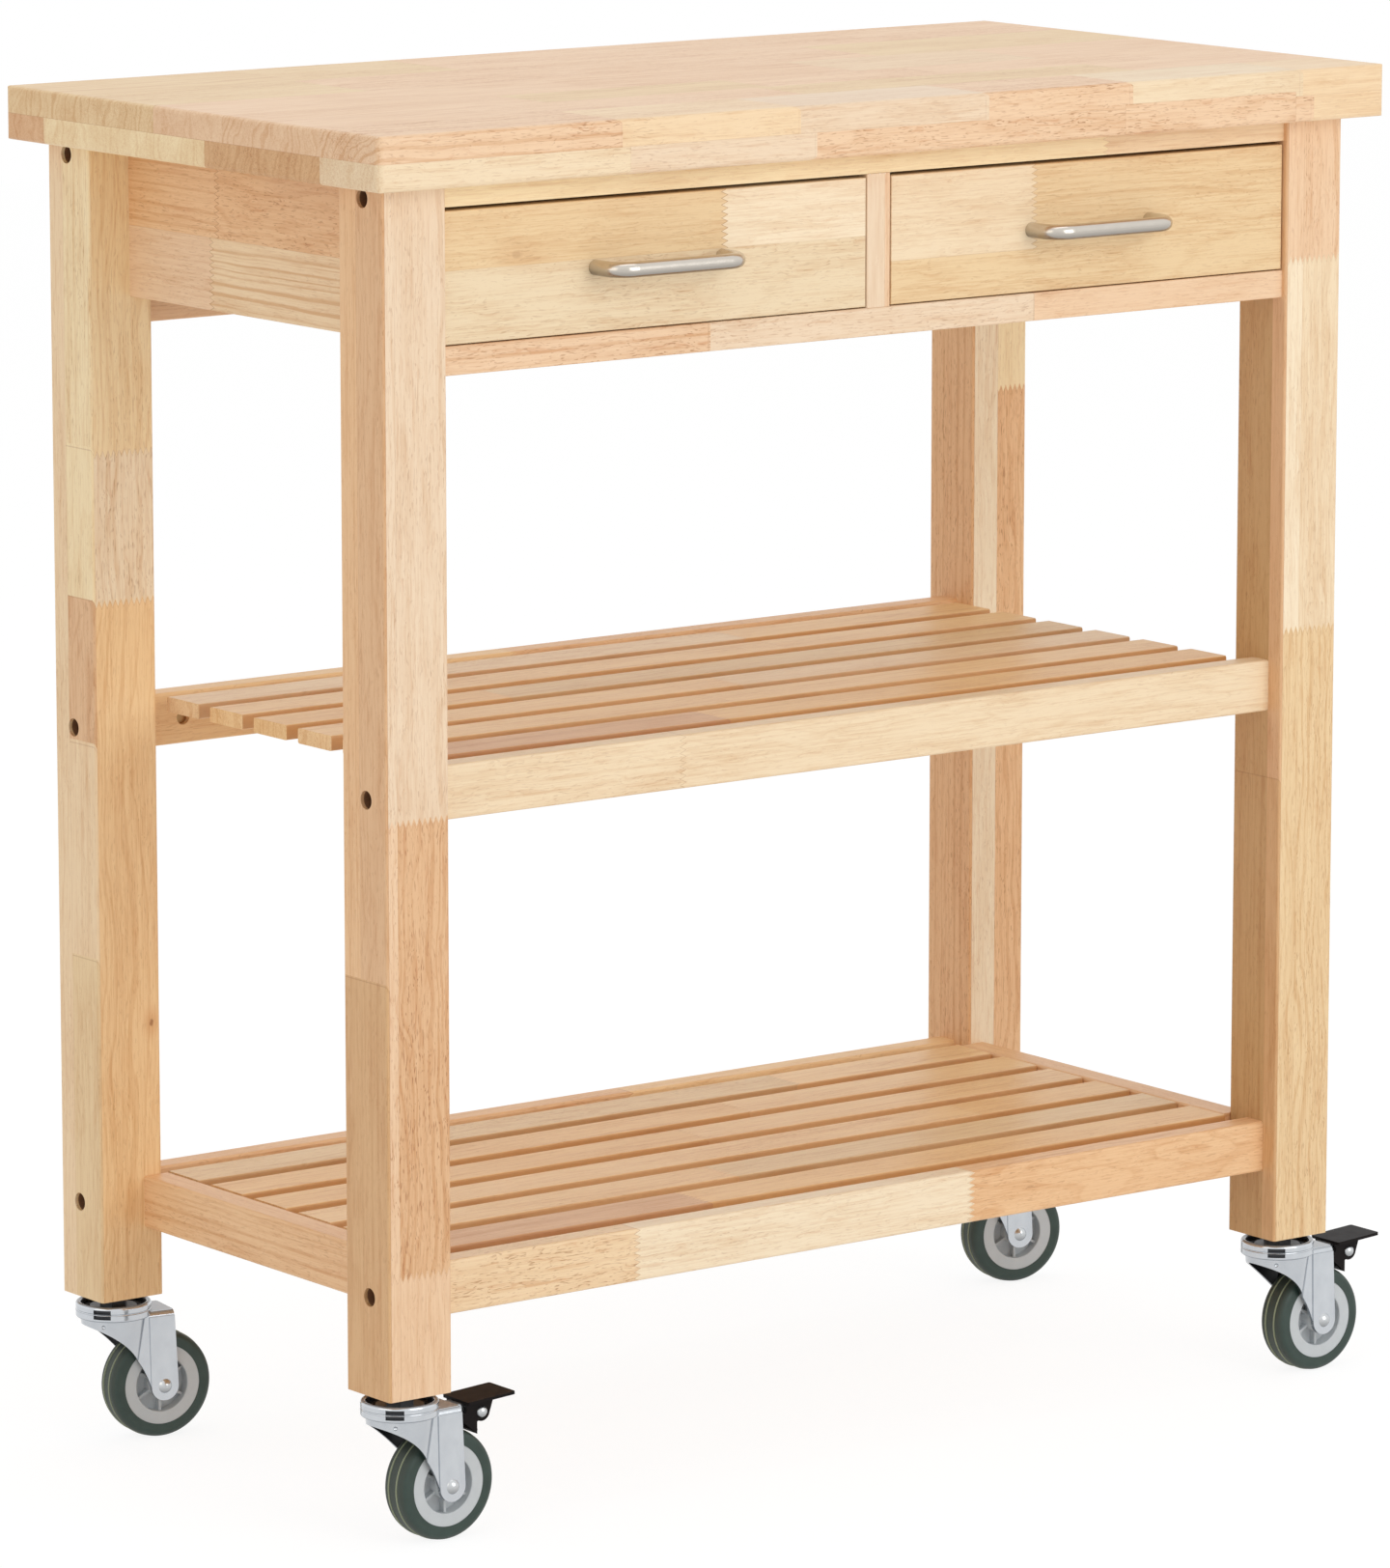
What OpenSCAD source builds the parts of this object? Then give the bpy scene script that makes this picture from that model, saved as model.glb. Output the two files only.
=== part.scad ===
// Kitchen island trolley: a laminated wooden worktop on four square legs, two drawers side by side,
// two slatted shelves and four swivel casters, the front pair with foot brakes.
// Width runs along X, the drawers open towards -Y and the floor is Z = 0.

/* [Worktop] */
// Width of the worktop
worktop_width = 820; // [640:5:1100]
// Depth of the worktop, front to back
worktop_depth = 425; // [380:5:560]
// Thickness of the worktop
worktop_thickness = 35; // [28:1:50]
// Height of the working surface above the floor
working_height = 904; // [840:1:960]
// Rounding of the worktop's long edges
worktop_edge_radius = 3; // [1:0.5:6]
// Rounding of the worktop's corners in plan
worktop_corner_radius = 5; // [2:0.5:12]
// How far the worktop stands out past the legs at each side
side_overhang = 18; // [5:1:40]
// How far the worktop stands out past the legs at front and back
front_overhang = 22.5; // [5:0.5:40]

/* [Legs] */
// Width of a square leg
leg_size = 48; // [42:1:60]
// Rounding of the legs' upright edges
leg_edge_radius = 2; // [0.5:0.5:4]

/* [Aprons] */
// Height of the two side aprons
side_apron_height = 100; // [90:1:115]
// Thickness of the side aprons
side_apron_thickness = 17; // [16:1:22]
// Height of the back apron
back_apron_height = 120; // [100:1:150]
// Height of the rail above the drawers
top_rail_height = 15; // [14:0.5:20]
// Height of the rail below the drawers
bottom_rail_height = 18.5; // [16:0.5:24]
// Depth of the two drawer rails, front to back
drawer_rail_depth = 45; // [36:1:60]
// How far the drawer rails stand back from the front of the legs
drawer_rail_setback = 4; // [1:0.5:8]
// Width of the upright between the drawers
divider_width = 19; // [18:1:30]
// Depth of that upright, front to back
divider_depth = 24; // [16:1:36]

/* [Drawers] */
// Height of a drawer front
drawer_front_height = 83.5; // [79:0.5:84]
// Thickness of a drawer front
drawer_front_thickness = 16; // [14:0.5:20]
// Dark gap above a drawer front
drawer_gap_top = 2.2; // [1:0.1:4]
// Gap below a drawer front
drawer_gap_bottom = 0.8; // [0.5:0.1:2]
// Gap at each end of a drawer front
drawer_gap_side = 0.9; // [0.5:0.1:2]
// Height of the drawer sides
drawer_side_height = 68; // [56:1:72]
// Thickness of the drawer sides and back
drawer_side_thickness = 13; // [12:0.5:15]
// Gap between the back of a drawer and the back apron
drawer_back_gap = 29; // [12:1:60]
// Thickness of the drawer bottom
drawer_bottom_thickness = 4; // [3:0.5:6]
// Height of the drawer bottom above the lower edge of the sides
drawer_bottom_lift = 7; // [5:0.5:9]
// Gap between a drawer side and the board beside it
drawer_side_clearance = 3; // [2:0.5:4]

/* [Drawer runners] */
// Height of a runner strip
runner_height = 12.4; // [10:0.2:14]
// Depth of the groove in the drawer side that the runner lies in
runner_groove = 7; // [6:0.5:7.5]
// Clearance round the runner in its groove
runner_clearance = 0.3; // [0.2:0.1:0.5]
// Height of the runner above the lower edge of the drawer side
runner_lift = 25; // [20:1:30]

/* [Handles] */
// Distance between the two feet of a handle
handle_centres = 100; // [64:1:160]
// Diameter of the handle bar
handle_diameter = 10; // [8:0.5:12]
// Distance from the drawer front to the middle of the bar
handle_reach = 25; // [22:0.5:34]
// Radius of the bends, to the middle of the bar
handle_bend = 13; // [10:0.5:16]

/* [Shelves] */
// Height of the upper shelf's top face above the floor
upper_shelf_height = 502; // [420:1:600]
// Height of the lower shelf's top face above the floor
lower_shelf_height = 183; // [176:1:224]
// Height of the shelf rails
shelf_rail_height = 35; // [32:0.5:44]
// Thickness of the front and back shelf rails and of the back apron
shelf_rail_thickness = 18; // [17:0.5:22]
// How far the shelf rails stand back from the faces of the legs
shelf_rail_inset = 13; // [10:0.5:16]
// Rounding of the long edges of the shelf rails
rail_edge_radius = 2; // [0.5:0.5:4]
// Thickness of the lower shelf's end rails
end_rail_thickness = 20; // [18:0.5:24]
// How far those end rails stand back from the outer faces of the legs
end_rail_inset = 34; // [32:0.5:37]
// Number of slats in each shelf
slat_count = 6; // [4:1:6]
// Width of a slat
slat_width = 38; // [30:0.5:42]
// Thickness of a slat
slat_thickness = 10; // [9:0.5:12]
// Rounding of the long edges of a slat
slat_edge_radius = 1.5; // [0.5:0.25:3]
// How far the upper slats end short of the legs' inner faces
upper_slat_end = 11; // [4:1:30]
// Gap between the lower slats and the end rails
lower_slat_end = 1.5; // [1:0.5:4]
// Width of a batten under the slats
batten_width = 20; // [18:1:30]
// Height of a batten under the slats
batten_height = 18; // [16:0.5:20]
// Distance from the middle of the shelf to the outer battens
batten_spacing = 225; // [120:5:260]

/* [Fasteners] */
// Diameter of a frame bolt
bolt_diameter = 6; // [5:0.5:8]
// Length of a frame bolt's shank
bolt_length = 62; // [54:1:80]
// Diameter of a frame bolt's head
bolt_head_diameter = 10.5; // [9.5:0.1:11.5]
// Height of a frame bolt's head
bolt_head_height = 4; // [3:0.5:6]
// Diameter of the hole in the leg that the head lies in
counterbore_diameter = 12; // [12:0.5:14]
// Wood of the leg left under the bolt head
bolt_grip = 18; // [12:1:24]
// Diameter of a barrel nut
barrel_nut_diameter = 10; // [9:0.5:12]
// Length of a barrel nut
barrel_nut_length = 10.5; // [8:0.5:11]
// Distance from a rail's end to its barrel nut
barrel_nut_distance = 32; // [20:1:36]
// Diameter of a dowel
dowel_diameter = 8; // [6:0.5:9]
// Length of a dowel
dowel_length = 24; // [16:1:26]
// Diameter of a wood screw
screw_diameter = 4; // [3:0.5:4]
// Length of a long wood screw
screw_length = 25; // [22:0.5:25]
// Length of a short wood screw
short_screw_length = 14; // [10:1:15]
// Diameter of a countersunk screw head
screw_head_diameter = 7.6; // [7:0.2:8]
// Length of each leg of a worktop bracket
bracket_leg = 24; // [16:1:24]
// Width of a worktop bracket
bracket_width = 20; // [14:1:30]
// Thickness of a worktop bracket
bracket_thickness = 2; // [1.5:0.1:2.5]

/* [Casters] */
// Diameter of a wheel
wheel_diameter = 73; // [60:1:76]
// Width of the tyre
tyre_width = 22; // [18:0.5:24]
// Diameter of the plastic wheel under the tyre
rim_diameter = 54; // [46:1:56]
// Diameter of the round recess in the wheel's face
recess_diameter = 37; // [30:1:40]
// Distance from the swivel axis to the wheel's axle
caster_trail = 30; // [24:1:34]
// Height from the floor to the foot of the leg
caster_height = 101; // [98:1:114]
// Diameter of the pressed ring at the top of the fork
crown_diameter = 50.4; // [46:0.2:56]
// Height of that ring
crown_height = 10.2; // [9:0.1:11]
// Width of the pair of pressed windows in each side of the ring
window_width = 12; // [6:0.5:14]
// Height of one window
window_height = 2.6; // [1.5:0.1:2.8]
// Angle from the trail to the windows, round the swivel axis
window_angle = 132; // [110:1:150]
// Sheet thickness of the fork
fork_sheet = 2.2; // [1.8:0.1:2.6]
// Gap between the tyre and each arm of the fork
fork_side_gap = 1.9; // [1.5:0.1:3]
// Radius of the fork's rounded lower end
fork_eye_radius = 9.8; // [8:0.1:12]
// Radius of the long curve up the front of each arm
fork_sweep_radius = 70; // [56:1:140]
// Diameter of the axle between the arms
axle_diameter = 8.1; // [7:0.1:9]
// Diameter of the swivel pin
swivel_pin_diameter = 12; // [10:0.5:14]
// Diameter of the threaded stem in the leg
stem_diameter = 10; // [8:0.5:12]
// Length of the stem in the leg
stem_length = 38; // [25:1:42]
// Turn of each caster: front left, front right, back left, back right
caster_turns = [0, 0, -9, -12];

/* [Brakes] */
// Length of the pedal plate
pedal_length = 37; // [30:0.5:44]
// Width of the pedal plate
pedal_width = 29; // [24:0.5:34]
// Upward slope of the pedal plate, in degrees
pedal_slope = 3.5; // [0:0.5:8]
// Distance from the swivel axis to the pedal's pin
pedal_pin_x = 57; // [54:0.5:60]
// Height of the pedal's pin above the floor
pedal_pin_z = 80.5; // [79:0.5:83]
// Diameter of the pedal's pin
pedal_pin_diameter = 4; // [3:0.5:5]
// Gap between the brake shoe and the tyre with the brake off
shoe_gap = 1.4; // [1.2:0.1:2.4]

/* [Hidden] */
$fn = 64;
tiny = 0.01;
// clearance of a shaft that turns in a bore, or of a pin or dowel in its hole
fit = 0.05;
// clearance between faces that move past each other
slip = 0.3;

// frame, worked out from the worktop down
top_z = working_height - worktop_thickness;
leg_out_x = worktop_width / 2 - side_overhang;
leg_in_x = leg_out_x - leg_size;
leg_mid_x = leg_out_x - leg_size / 2;
leg_out_y = worktop_depth / 2 - front_overhang;
leg_in_y = leg_out_y - leg_size;
leg_mid_y = leg_out_y - leg_size / 2;
rail_out_y = leg_out_y - shelf_rail_inset;
rail_in_y = rail_out_y - shelf_rail_thickness;
rail_mid_y = (rail_out_y + rail_in_y) / 2;

// gap between the partition and the level of the bottom rail's top face
partition_lift = 6;

// drawer zone
zone_front_y = -(leg_out_y - drawer_rail_setback);
zone_top_z = top_z - top_rail_height;
front_z1 = zone_top_z - drawer_gap_top;
front_z0 = front_z1 - drawer_front_height;
zone_bottom_z = front_z0 - drawer_gap_bottom;
drawer_rail_back_y = zone_front_y + drawer_rail_depth;
divider_half = divider_width / 2;
bottom_rail_z0 = zone_bottom_z - bottom_rail_height;
bottom_rail_mid_z = zone_bottom_z - bottom_rail_height / 2;
apron_mid_x = leg_in_x + side_apron_thickness / 2;
side_apron_z0 = top_z - side_apron_height;
back_apron_z0 = top_z - back_apron_height;
partition_z0 = zone_bottom_z + partition_lift;
partition_y0 = zone_front_y + divider_depth;

// drawer box; each bay lies between a leg's inner face and the divider
drawer_box_lift = 4;
bay_width = leg_in_x - divider_half;
bay_mid_x = (leg_in_x + divider_half) / 2;
box_half = bay_width / 2 - drawer_side_clearance;
box_in_half = box_half - drawer_side_thickness;
front_half = bay_width / 2 - drawer_gap_side;
box_y0 = zone_front_y + drawer_front_thickness;
box_y1 = rail_in_y - drawer_back_gap;
box_z0 = front_z0 + drawer_box_lift;
box_z1 = box_z0 + drawer_side_height;
bottom_z0 = box_z0 + drawer_bottom_lift;
bottom_z1 = bottom_z0 + drawer_bottom_thickness;
bottom_tongue = 5;
runner_z0 = box_z0 + runner_lift;
runner_z1 = runner_z0 + runner_height;
runner_side_gap = 0.6;
runner_front_gap = 6;
runner_back_gap = 8;
runner_reach = drawer_side_clearance + runner_groove - runner_side_gap;
runner_y0 = box_y0 + runner_front_gap;
runner_y1 = rail_in_y - runner_back_gap;
handle_drop = 1;
handle_z = (front_z0 + front_z1) / 2 - handle_drop;

// shelves
upper_z0 = upper_shelf_height - shelf_rail_height;
lower_z0 = lower_shelf_height - shelf_rail_height;
end_rail_out_x = leg_out_x - end_rail_inset;
end_rail_in_x = end_rail_out_x - end_rail_thickness;
end_dowel_x = (max(end_rail_in_x, leg_in_x) + end_rail_out_x) / 2;
slat_gap = (2 * rail_in_y - slat_count * slat_width) / (slat_count + 1);
slat_pitch = slat_width + slat_gap;
slat_y = [for (i = [0:slat_count - 1]) -rail_in_y + slat_gap + slat_width / 2 + i * slat_pitch];
upper_slat_half = leg_in_x - upper_slat_end;
lower_slat_half = end_rail_in_x - lower_slat_end;
batten_x = [-batten_spacing, 0, batten_spacing];
shelf_tops = [upper_shelf_height, lower_shelf_height];

// fasteners
counterbore_depth = leg_size - bolt_grip;
dowel_cover = 2.5;
rail_dowel_drop = shelf_rail_height / 2 - dowel_diameter / 2 - dowel_cover;
// distances of dowels and screws from the edges of the boards that they join
rail_dowel_edge = 10;
board_dowel_edge = 20;
apron_dowel_edge = 25;
end_dowel_spread = 8;
top_screw_edge = 14;
// length of a barrel nut's bore beyond the nut, out through the face of the rail
nut_bore = 30;
bolt_levels = [
    top_z - top_rail_height / 2,
    upper_z0 + shelf_rail_height / 2,
    lower_z0 + shelf_rail_height / 2
];
top_screw_x = [-bay_mid_x, bay_mid_x];
divider_screw_y = zone_front_y + divider_depth / 2;
bracket_x = worktop_width / 4;
screw_tip = screw_diameter / 2;

// casters, each in its own frame: swivel axis at the origin, floor at 0, wheel trailing to +X
axle_z = wheel_diameter / 2;
rim_half = tyre_width / 2 - 0.3;
fork_in = tyre_width / 2 + fork_side_gap;
fork_out = fork_in + fork_sheet;
band_out = fork_out + 0.8;
hub_half = fork_in - slip;
crown_z1 = caster_height - 5.2;
crown_z0 = crown_z1 - crown_height;
crown_middle = (crown_z0 + crown_z1) / 2;
crown_radius = crown_diameter / 2;
crown_wall = 3.8;
plate_z1 = crown_z1 - 6.8;
plate_z0 = plate_z1 - 3;
neck_radius = crown_radius - 2.7;
fork_back_x = caster_trail + fork_eye_radius;
band_front_x = caster_trail - fork_eye_radius;
pin_head_z1 = plate_z0 - slip;
pin_head_z0 = pin_head_z1 - 2.6;
seat_radius = crown_radius - 9.5;
race_in = seat_radius + 1.3;
race_floor = plate_z1 + 2.4;
seat_top = plate_z1 + slip + 3;
hexagon_radius = 9.8;
window_depth = 2.6;
window_bar = 1.1;
dimple_radius = 1.5;
axle_head_radius = 4.8;
lug_half = 7;
lug_radius = 5;
lug_z0 = pedal_pin_z - lug_radius + 1;
cheek_in = lug_half + 1;
cheek_out = cheek_in + 2;
shoe_r0 = wheel_diameter / 2 + shoe_gap;
shoe_r1 = shoe_r0 + 3;
shoe_angles = [26, 38];
shoe_tip = [
    caster_trail + shoe_r0 * sin(shoe_angles[1]),
    axle_z + shoe_r0 * cos(shoe_angles[1])
];
pedal_x0 = pedal_pin_x - 13.5;
pedal_z0 = pedal_pin_z + 6.6;
pedal_plate = 2;
pedal_reach = pedal_x0 + pedal_length * cos(pedal_slope);

// casters' places, in the order of caster_turns
caster_x = [-leg_mid_x, leg_mid_x, -leg_mid_x, leg_mid_x];
caster_y = [-leg_mid_y, -leg_mid_y, leg_mid_y, leg_mid_y];

// the model stands on the middle of its own outline, pedals and handles included
handle_front_y = zone_front_y - handle_reach - handle_diameter / 2;
outline_x0 = -worktop_width / 2;
outline_x1 = max(worktop_width / 2, leg_mid_x + pedal_reach);
outline_y0 = min(-worktop_depth / 2, handle_front_y);
outline_y1 = worktop_depth / 2;
origin = [(outline_x0 + outline_x1) / 2, (outline_y0 + outline_y1) / 2, 0];

// moves a piece from the frame of the worktop's middle to the model's origin
module placed() {
    translate(-origin) children();
}

// a rectangle with rounded corners, about its middle
module rounded_rect(w, h, r) {
    square([w - 2 * r, h], center = true);
    square([w, h - 2 * r], center = true);
    for (sx = [-1, 1], sy = [-1, 1])
        translate([sx * (w / 2 - r), sy * (h / 2 - r)]) circle(r);
}

// boards between two corners, with the edges along one axis rounded
module board_x(a, b, r) {
    translate([a[0], (a[1] + b[1]) / 2, (a[2] + b[2]) / 2]) rotate([90, 0, 90])
        linear_extrude(b[0] - a[0]) rounded_rect(b[1] - a[1], b[2] - a[2], r);
}

module board_y(a, b, r) {
    translate([(a[0] + b[0]) / 2, b[1], (a[2] + b[2]) / 2]) rotate([90, 0, 0])
        linear_extrude(b[1] - a[1]) rounded_rect(b[0] - a[0], b[2] - a[2], r);
}

module board_z(a, b, r) {
    translate([(a[0] + b[0]) / 2, (a[1] + b[1]) / 2, a[2]])
        linear_extrude(b[2] - a[2]) rounded_rect(b[0] - a[0], b[1] - a[1], r);
}

// a plain block between two corners
module block(a, b) {
    translate(a) cube(b - a);
}

// a round bar from a point, along +X, +Y or +Z
module bar_x(p, r, length) {
    translate(p) rotate([0, 90, 0]) cylinder(h = length, r = r);
}

module bar_y(p, r, length) {
    translate(p) rotate([-90, 0, 0]) cylinder(h = length, r = r);
}

module bar_z(p, r, length) {
    translate(p) cylinder(h = length, r = r);
}

// Fastener places. Each of these modules puts its children at every place of one kind,
// so a fastener and its hole always come from the same numbers.

// frame bolts run inwards along X: origin at the outer face of the leg, +Z points inwards
module bolt_places(levels = bolt_levels) {
    for (sx = [-1, 1], sy = [-1, 1], z = levels)
        translate([sx * leg_out_x, sy * rail_mid_y, z]) rotate([0, -sx * 90, 0]) children();
}

module bolt_hole() {
    translate([0, 0, -tiny]) cylinder(h = counterbore_depth + tiny, d = counterbore_diameter);
    cylinder(h = counterbore_depth + bolt_length + 2, r = bolt_diameter / 2 + 0.25);
}

module frame_bolt() {
    translate([0, 0, counterbore_depth]) cylinder(h = bolt_length, d = bolt_diameter);
    difference() {
        translate([0, 0, counterbore_depth - bolt_head_height])
            cylinder(h = bolt_head_height, d = bolt_head_diameter);
        translate([0, 0, counterbore_depth - bolt_head_height - tiny])
            cylinder(h = bolt_head_height * 0.6, d = bolt_diameter * 0.8, $fn = 6);
    }
}

// a barrel nut lies across its bolt; its hole is open towards +Z of the place
module nut_places() {
    nut_x = leg_in_x - barrel_nut_distance;
    for (sx = [-1, 1]) {
        for (sy = [-1, 1], z = [bolt_levels[1], bolt_levels[2]])
            translate([sx * nut_x, sy * rail_mid_y, z]) rotate([sy * 90, 0, 0]) children();
        translate([sx * nut_x, rail_mid_y, bolt_levels[0]]) rotate([90, 0, 0]) children();
        translate([sx * nut_x, -rail_mid_y, bolt_levels[0]]) rotate([180, 0, 0]) children();
    }
}

module nut_hole() {
    translate([0, 0, -barrel_nut_length / 2 - fit])
        cylinder(h = barrel_nut_length / 2 + nut_bore, d = barrel_nut_diameter + 2 * fit);
}

module barrel_nut() {
    difference() {
        cylinder(h = barrel_nut_length, d = barrel_nut_diameter, center = true);
        rotate([0, 90, 0])
            cylinder(h = barrel_nut_diameter + 2, r = bolt_diameter / 2 + fit, center = true);
    }
}

// dowels: origin at the joint between the two pieces, dowel along Z
module dowel_x_places() {
    for (sx = [-1, 1]) {
        for (sy = [-1, 1], z = [bolt_levels[1] - rail_dowel_drop, bolt_levels[2] - rail_dowel_drop])
            translate([sx * leg_in_x, sy * rail_mid_y, z]) rotate([0, 90, 0]) children();
        translate([sx * leg_in_x, rail_mid_y, back_apron_z0 + board_dowel_edge])
            rotate([0, 90, 0]) children();
        for (y = [zone_front_y + rail_dowel_edge, drawer_rail_back_y - rail_dowel_edge])
            translate([sx * leg_in_x, y, bottom_rail_mid_z]) rotate([0, 90, 0]) children();
    }
}

module apron_dowel_places() {
    levels = [side_apron_z0 + apron_dowel_edge, top_z - apron_dowel_edge];
    for (sx = [-1, 1], sy = [-1, 1], z = levels)
        translate([sx * apron_mid_x, sy * leg_in_y, z]) rotate([90, 0, 0]) children();
}

module end_rail_dowel_places() {
    for (sx = [-1, 1], sy = [-1, 1], dz = [-end_dowel_spread, end_dowel_spread])
        translate([sx * end_dowel_x, sy * leg_in_y, bolt_levels[2] + dz])
            rotate([90, 0, 0]) children();
}

module batten_dowel_places() {
    for (x = batten_x, sy = [-1, 1], top = shelf_tops)
        translate([x, sy * rail_in_y, top - slat_thickness - batten_height / 2])
            rotate([90, 0, 0]) children();
}

module partition_dowel_places() {
    levels = [partition_z0 + board_dowel_edge, zone_top_z - board_dowel_edge];
    for (y = [partition_y0, rail_in_y], z = levels)
        translate([0, y, z]) rotate([90, 0, 0]) children();
}

module dowel_hole() {
    cylinder(h = dowel_length + 1, r = dowel_diameter / 2 + fit, center = true);
}

module dowel() {
    cylinder(h = dowel_length, d = dowel_diameter, center = true);
}

// wood screws: head face at the origin, tip along +Z
module slat_screw_places() {
    for (x = batten_x, y = slat_y, top = shelf_tops)
        translate([x, y, top - slat_thickness - batten_height]) children();
}

module top_screw_places() {
    for (x = top_screw_x)
        translate([x, drawer_rail_back_y - top_screw_edge, zone_top_z]) children();
}

module divider_screw_places() {
    translate([0, divider_screw_y, bottom_rail_z0]) children();
    translate([0, divider_screw_y, top_z]) rotate([180, 0, 0]) children();
}

module runner_screw_places() {
    z = (runner_z0 + runner_z1) / 2;
    // the two runners on the partition are screwed at different places, so the screws pass
    for (sx = [-1, 1], part = [0.2, 0.8]) {
        y = runner_y0 + part * (runner_y1 - runner_y0);
        translate([sx * (leg_in_x - runner_reach), y, z]) rotate([0, sx * 90, 0]) children();
        translate([sx * (divider_half + runner_reach), y + sx * 9, z])
            rotate([0, -sx * 90, 0]) children();
    }
}

module bracket_places() {
    for (sx = [-1, 1]) {
        translate([sx * leg_in_x, 0, top_z]) rotate([0, 0, sx > 0 ? 180 : 0]) children();
        translate([sx * bracket_x, rail_in_y, top_z]) rotate([0, 0, -90]) children();
    }
}

module bracket_screw_places() {
    bracket_places() {
        translate([bracket_leg * 0.6, 0, -bracket_thickness]) children();
        translate([bracket_thickness, 0, -bracket_leg * 0.6]) rotate([0, -90, 0]) children();
    }
}

module countersunk(length, grow) {
    head = screw_head_diameter / 2;
    shank = screw_diameter / 2;
    slope = head - shank;
    cylinder(h = slope, r1 = head + grow, r2 = shank + grow);
    cylinder(h = length - screw_tip, r = shank + grow);
    translate([0, 0, length - screw_tip])
        cylinder(h = screw_tip + grow, r1 = shank + grow, r2 = 0.4 + grow);
}

module screw_hole(length = screw_length) {
    countersunk(length, fit);
    translate([0, 0, -1]) cylinder(h = 1 + tiny, r = screw_head_diameter / 2 + fit);
}

module wood_screw(length = screw_length) {
    difference() {
        countersunk(length, 0);
        for (turn = [0, 90])
            rotate([0, 0, turn]) translate([-screw_diameter / 2, -0.4, -tiny])
                cube([screw_diameter, 0.8, 1.4]);
    }
}

// Worktop, legs, aprons and rails

module worktop() {
    a = [-worktop_width / 2, -worktop_depth / 2, top_z];
    b = -a + [0, 0, working_height + top_z];
    placed() color("burlywood") difference() {
        intersection() {
            board_x(a, b, worktop_edge_radius);
            board_y(a, b, worktop_edge_radius);
            board_z(a, b, worktop_corner_radius);
        }
        top_screw_places() screw_hole();
        bracket_places() translate([bracket_leg * 0.6, 0, -bracket_thickness])
            screw_hole(short_screw_length);
    }
}

module leg(sx, sy) {
    x = [min(sx * leg_in_x, sx * leg_out_x), max(sx * leg_in_x, sx * leg_out_x)];
    y = [min(sy * leg_in_y, sy * leg_out_y), max(sy * leg_in_y, sy * leg_out_y)];
    placed() color("burlywood") difference() {
        board_z([x[0], y[0], caster_height], [x[1], y[1], top_z], leg_edge_radius);
        for (z = bolt_levels)
            translate([sx * leg_out_x, sy * rail_mid_y, z]) rotate([0, -sx * 90, 0]) bolt_hole();
        dowel_x_places() dowel_hole();
        apron_dowel_places() dowel_hole();
        end_rail_dowel_places() dowel_hole();
        bar_z([sx * leg_mid_x, sy * leg_mid_y, caster_height - 1],
            stem_diameter / 2 + fit, stem_length + 3);
    }
}

module side_apron(sx) {
    x = [min(sx * leg_in_x, sx * (leg_in_x + side_apron_thickness)),
        max(sx * leg_in_x, sx * (leg_in_x + side_apron_thickness))];
    placed() color("tan") difference() {
        board_y([x[0], -leg_in_y, side_apron_z0], [x[1], leg_in_y, top_z], 1);
        apron_dowel_places() dowel_hole();
        runner_screw_places() screw_hole();
        bracket_screw_places() screw_hole(short_screw_length);
    }
}

module back_apron() {
    placed() color("burlywood") difference() {
        board_x([-leg_in_x, rail_in_y, back_apron_z0], [leg_in_x, rail_out_y, top_z], 1);
        bolt_places([bolt_levels[0]]) bolt_hole();
        nut_places() nut_hole();
        dowel_x_places() dowel_hole();
        partition_dowel_places() dowel_hole();
        bracket_screw_places() screw_hole(short_screw_length);
    }
}

module drawer_top_rail() {
    placed() color("burlywood") difference() {
        board_x([-leg_in_x, zone_front_y, zone_top_z], [leg_in_x, drawer_rail_back_y, top_z], 1);
        bolt_places([bolt_levels[0]]) bolt_hole();
        nut_places() nut_hole();
        top_screw_places() screw_hole();
        divider_screw_places() screw_hole();
    }
}

module drawer_bottom_rail() {
    placed() color("burlywood") difference() {
        board_x([-leg_in_x, zone_front_y, bottom_rail_z0],
            [leg_in_x, drawer_rail_back_y, zone_bottom_z], 1);
        dowel_x_places() dowel_hole();
        divider_screw_places() screw_hole();
    }
}

module drawer_divider() {
    placed() color("wheat") difference() {
        board_z([-divider_half, zone_front_y, zone_bottom_z],
            [divider_half, partition_y0, zone_top_z], 1);
        divider_screw_places() screw_hole();
        partition_dowel_places() dowel_hole();
    }
}

module drawer_partition() {
    placed() color("tan") difference() {
        board_y([-divider_half, partition_y0, partition_z0],
            [divider_half, rail_in_y, zone_top_z], 1);
        partition_dowel_places() dowel_hole();
        runner_screw_places() screw_hole();
    }
}

module drawer_runners() {
    placed() color("tan") difference() {
        for (sx = [-1, 1]) {
            outer = sx * (leg_in_x - runner_reach / 2);
            inner = sx * (divider_half + runner_reach / 2);
            for (x = [outer, inner])
                board_y([x - runner_reach / 2, runner_y0, runner_z0],
                    [x + runner_reach / 2, runner_y1, runner_z1], 1);
        }
        runner_screw_places() screw_hole();
    }
}

// Shelves

module shelf_rail(sy, z0) {
    y = [min(sy * rail_in_y, sy * rail_out_y), max(sy * rail_in_y, sy * rail_out_y)];
    placed() color("burlywood") difference() {
        board_x([-leg_in_x, y[0], z0], [leg_in_x, y[1], z0 + shelf_rail_height], rail_edge_radius);
        bolt_places([z0 + shelf_rail_height / 2]) bolt_hole();
        nut_places() nut_hole();
        dowel_x_places() dowel_hole();
        batten_dowel_places() dowel_hole();
    }
}

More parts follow.
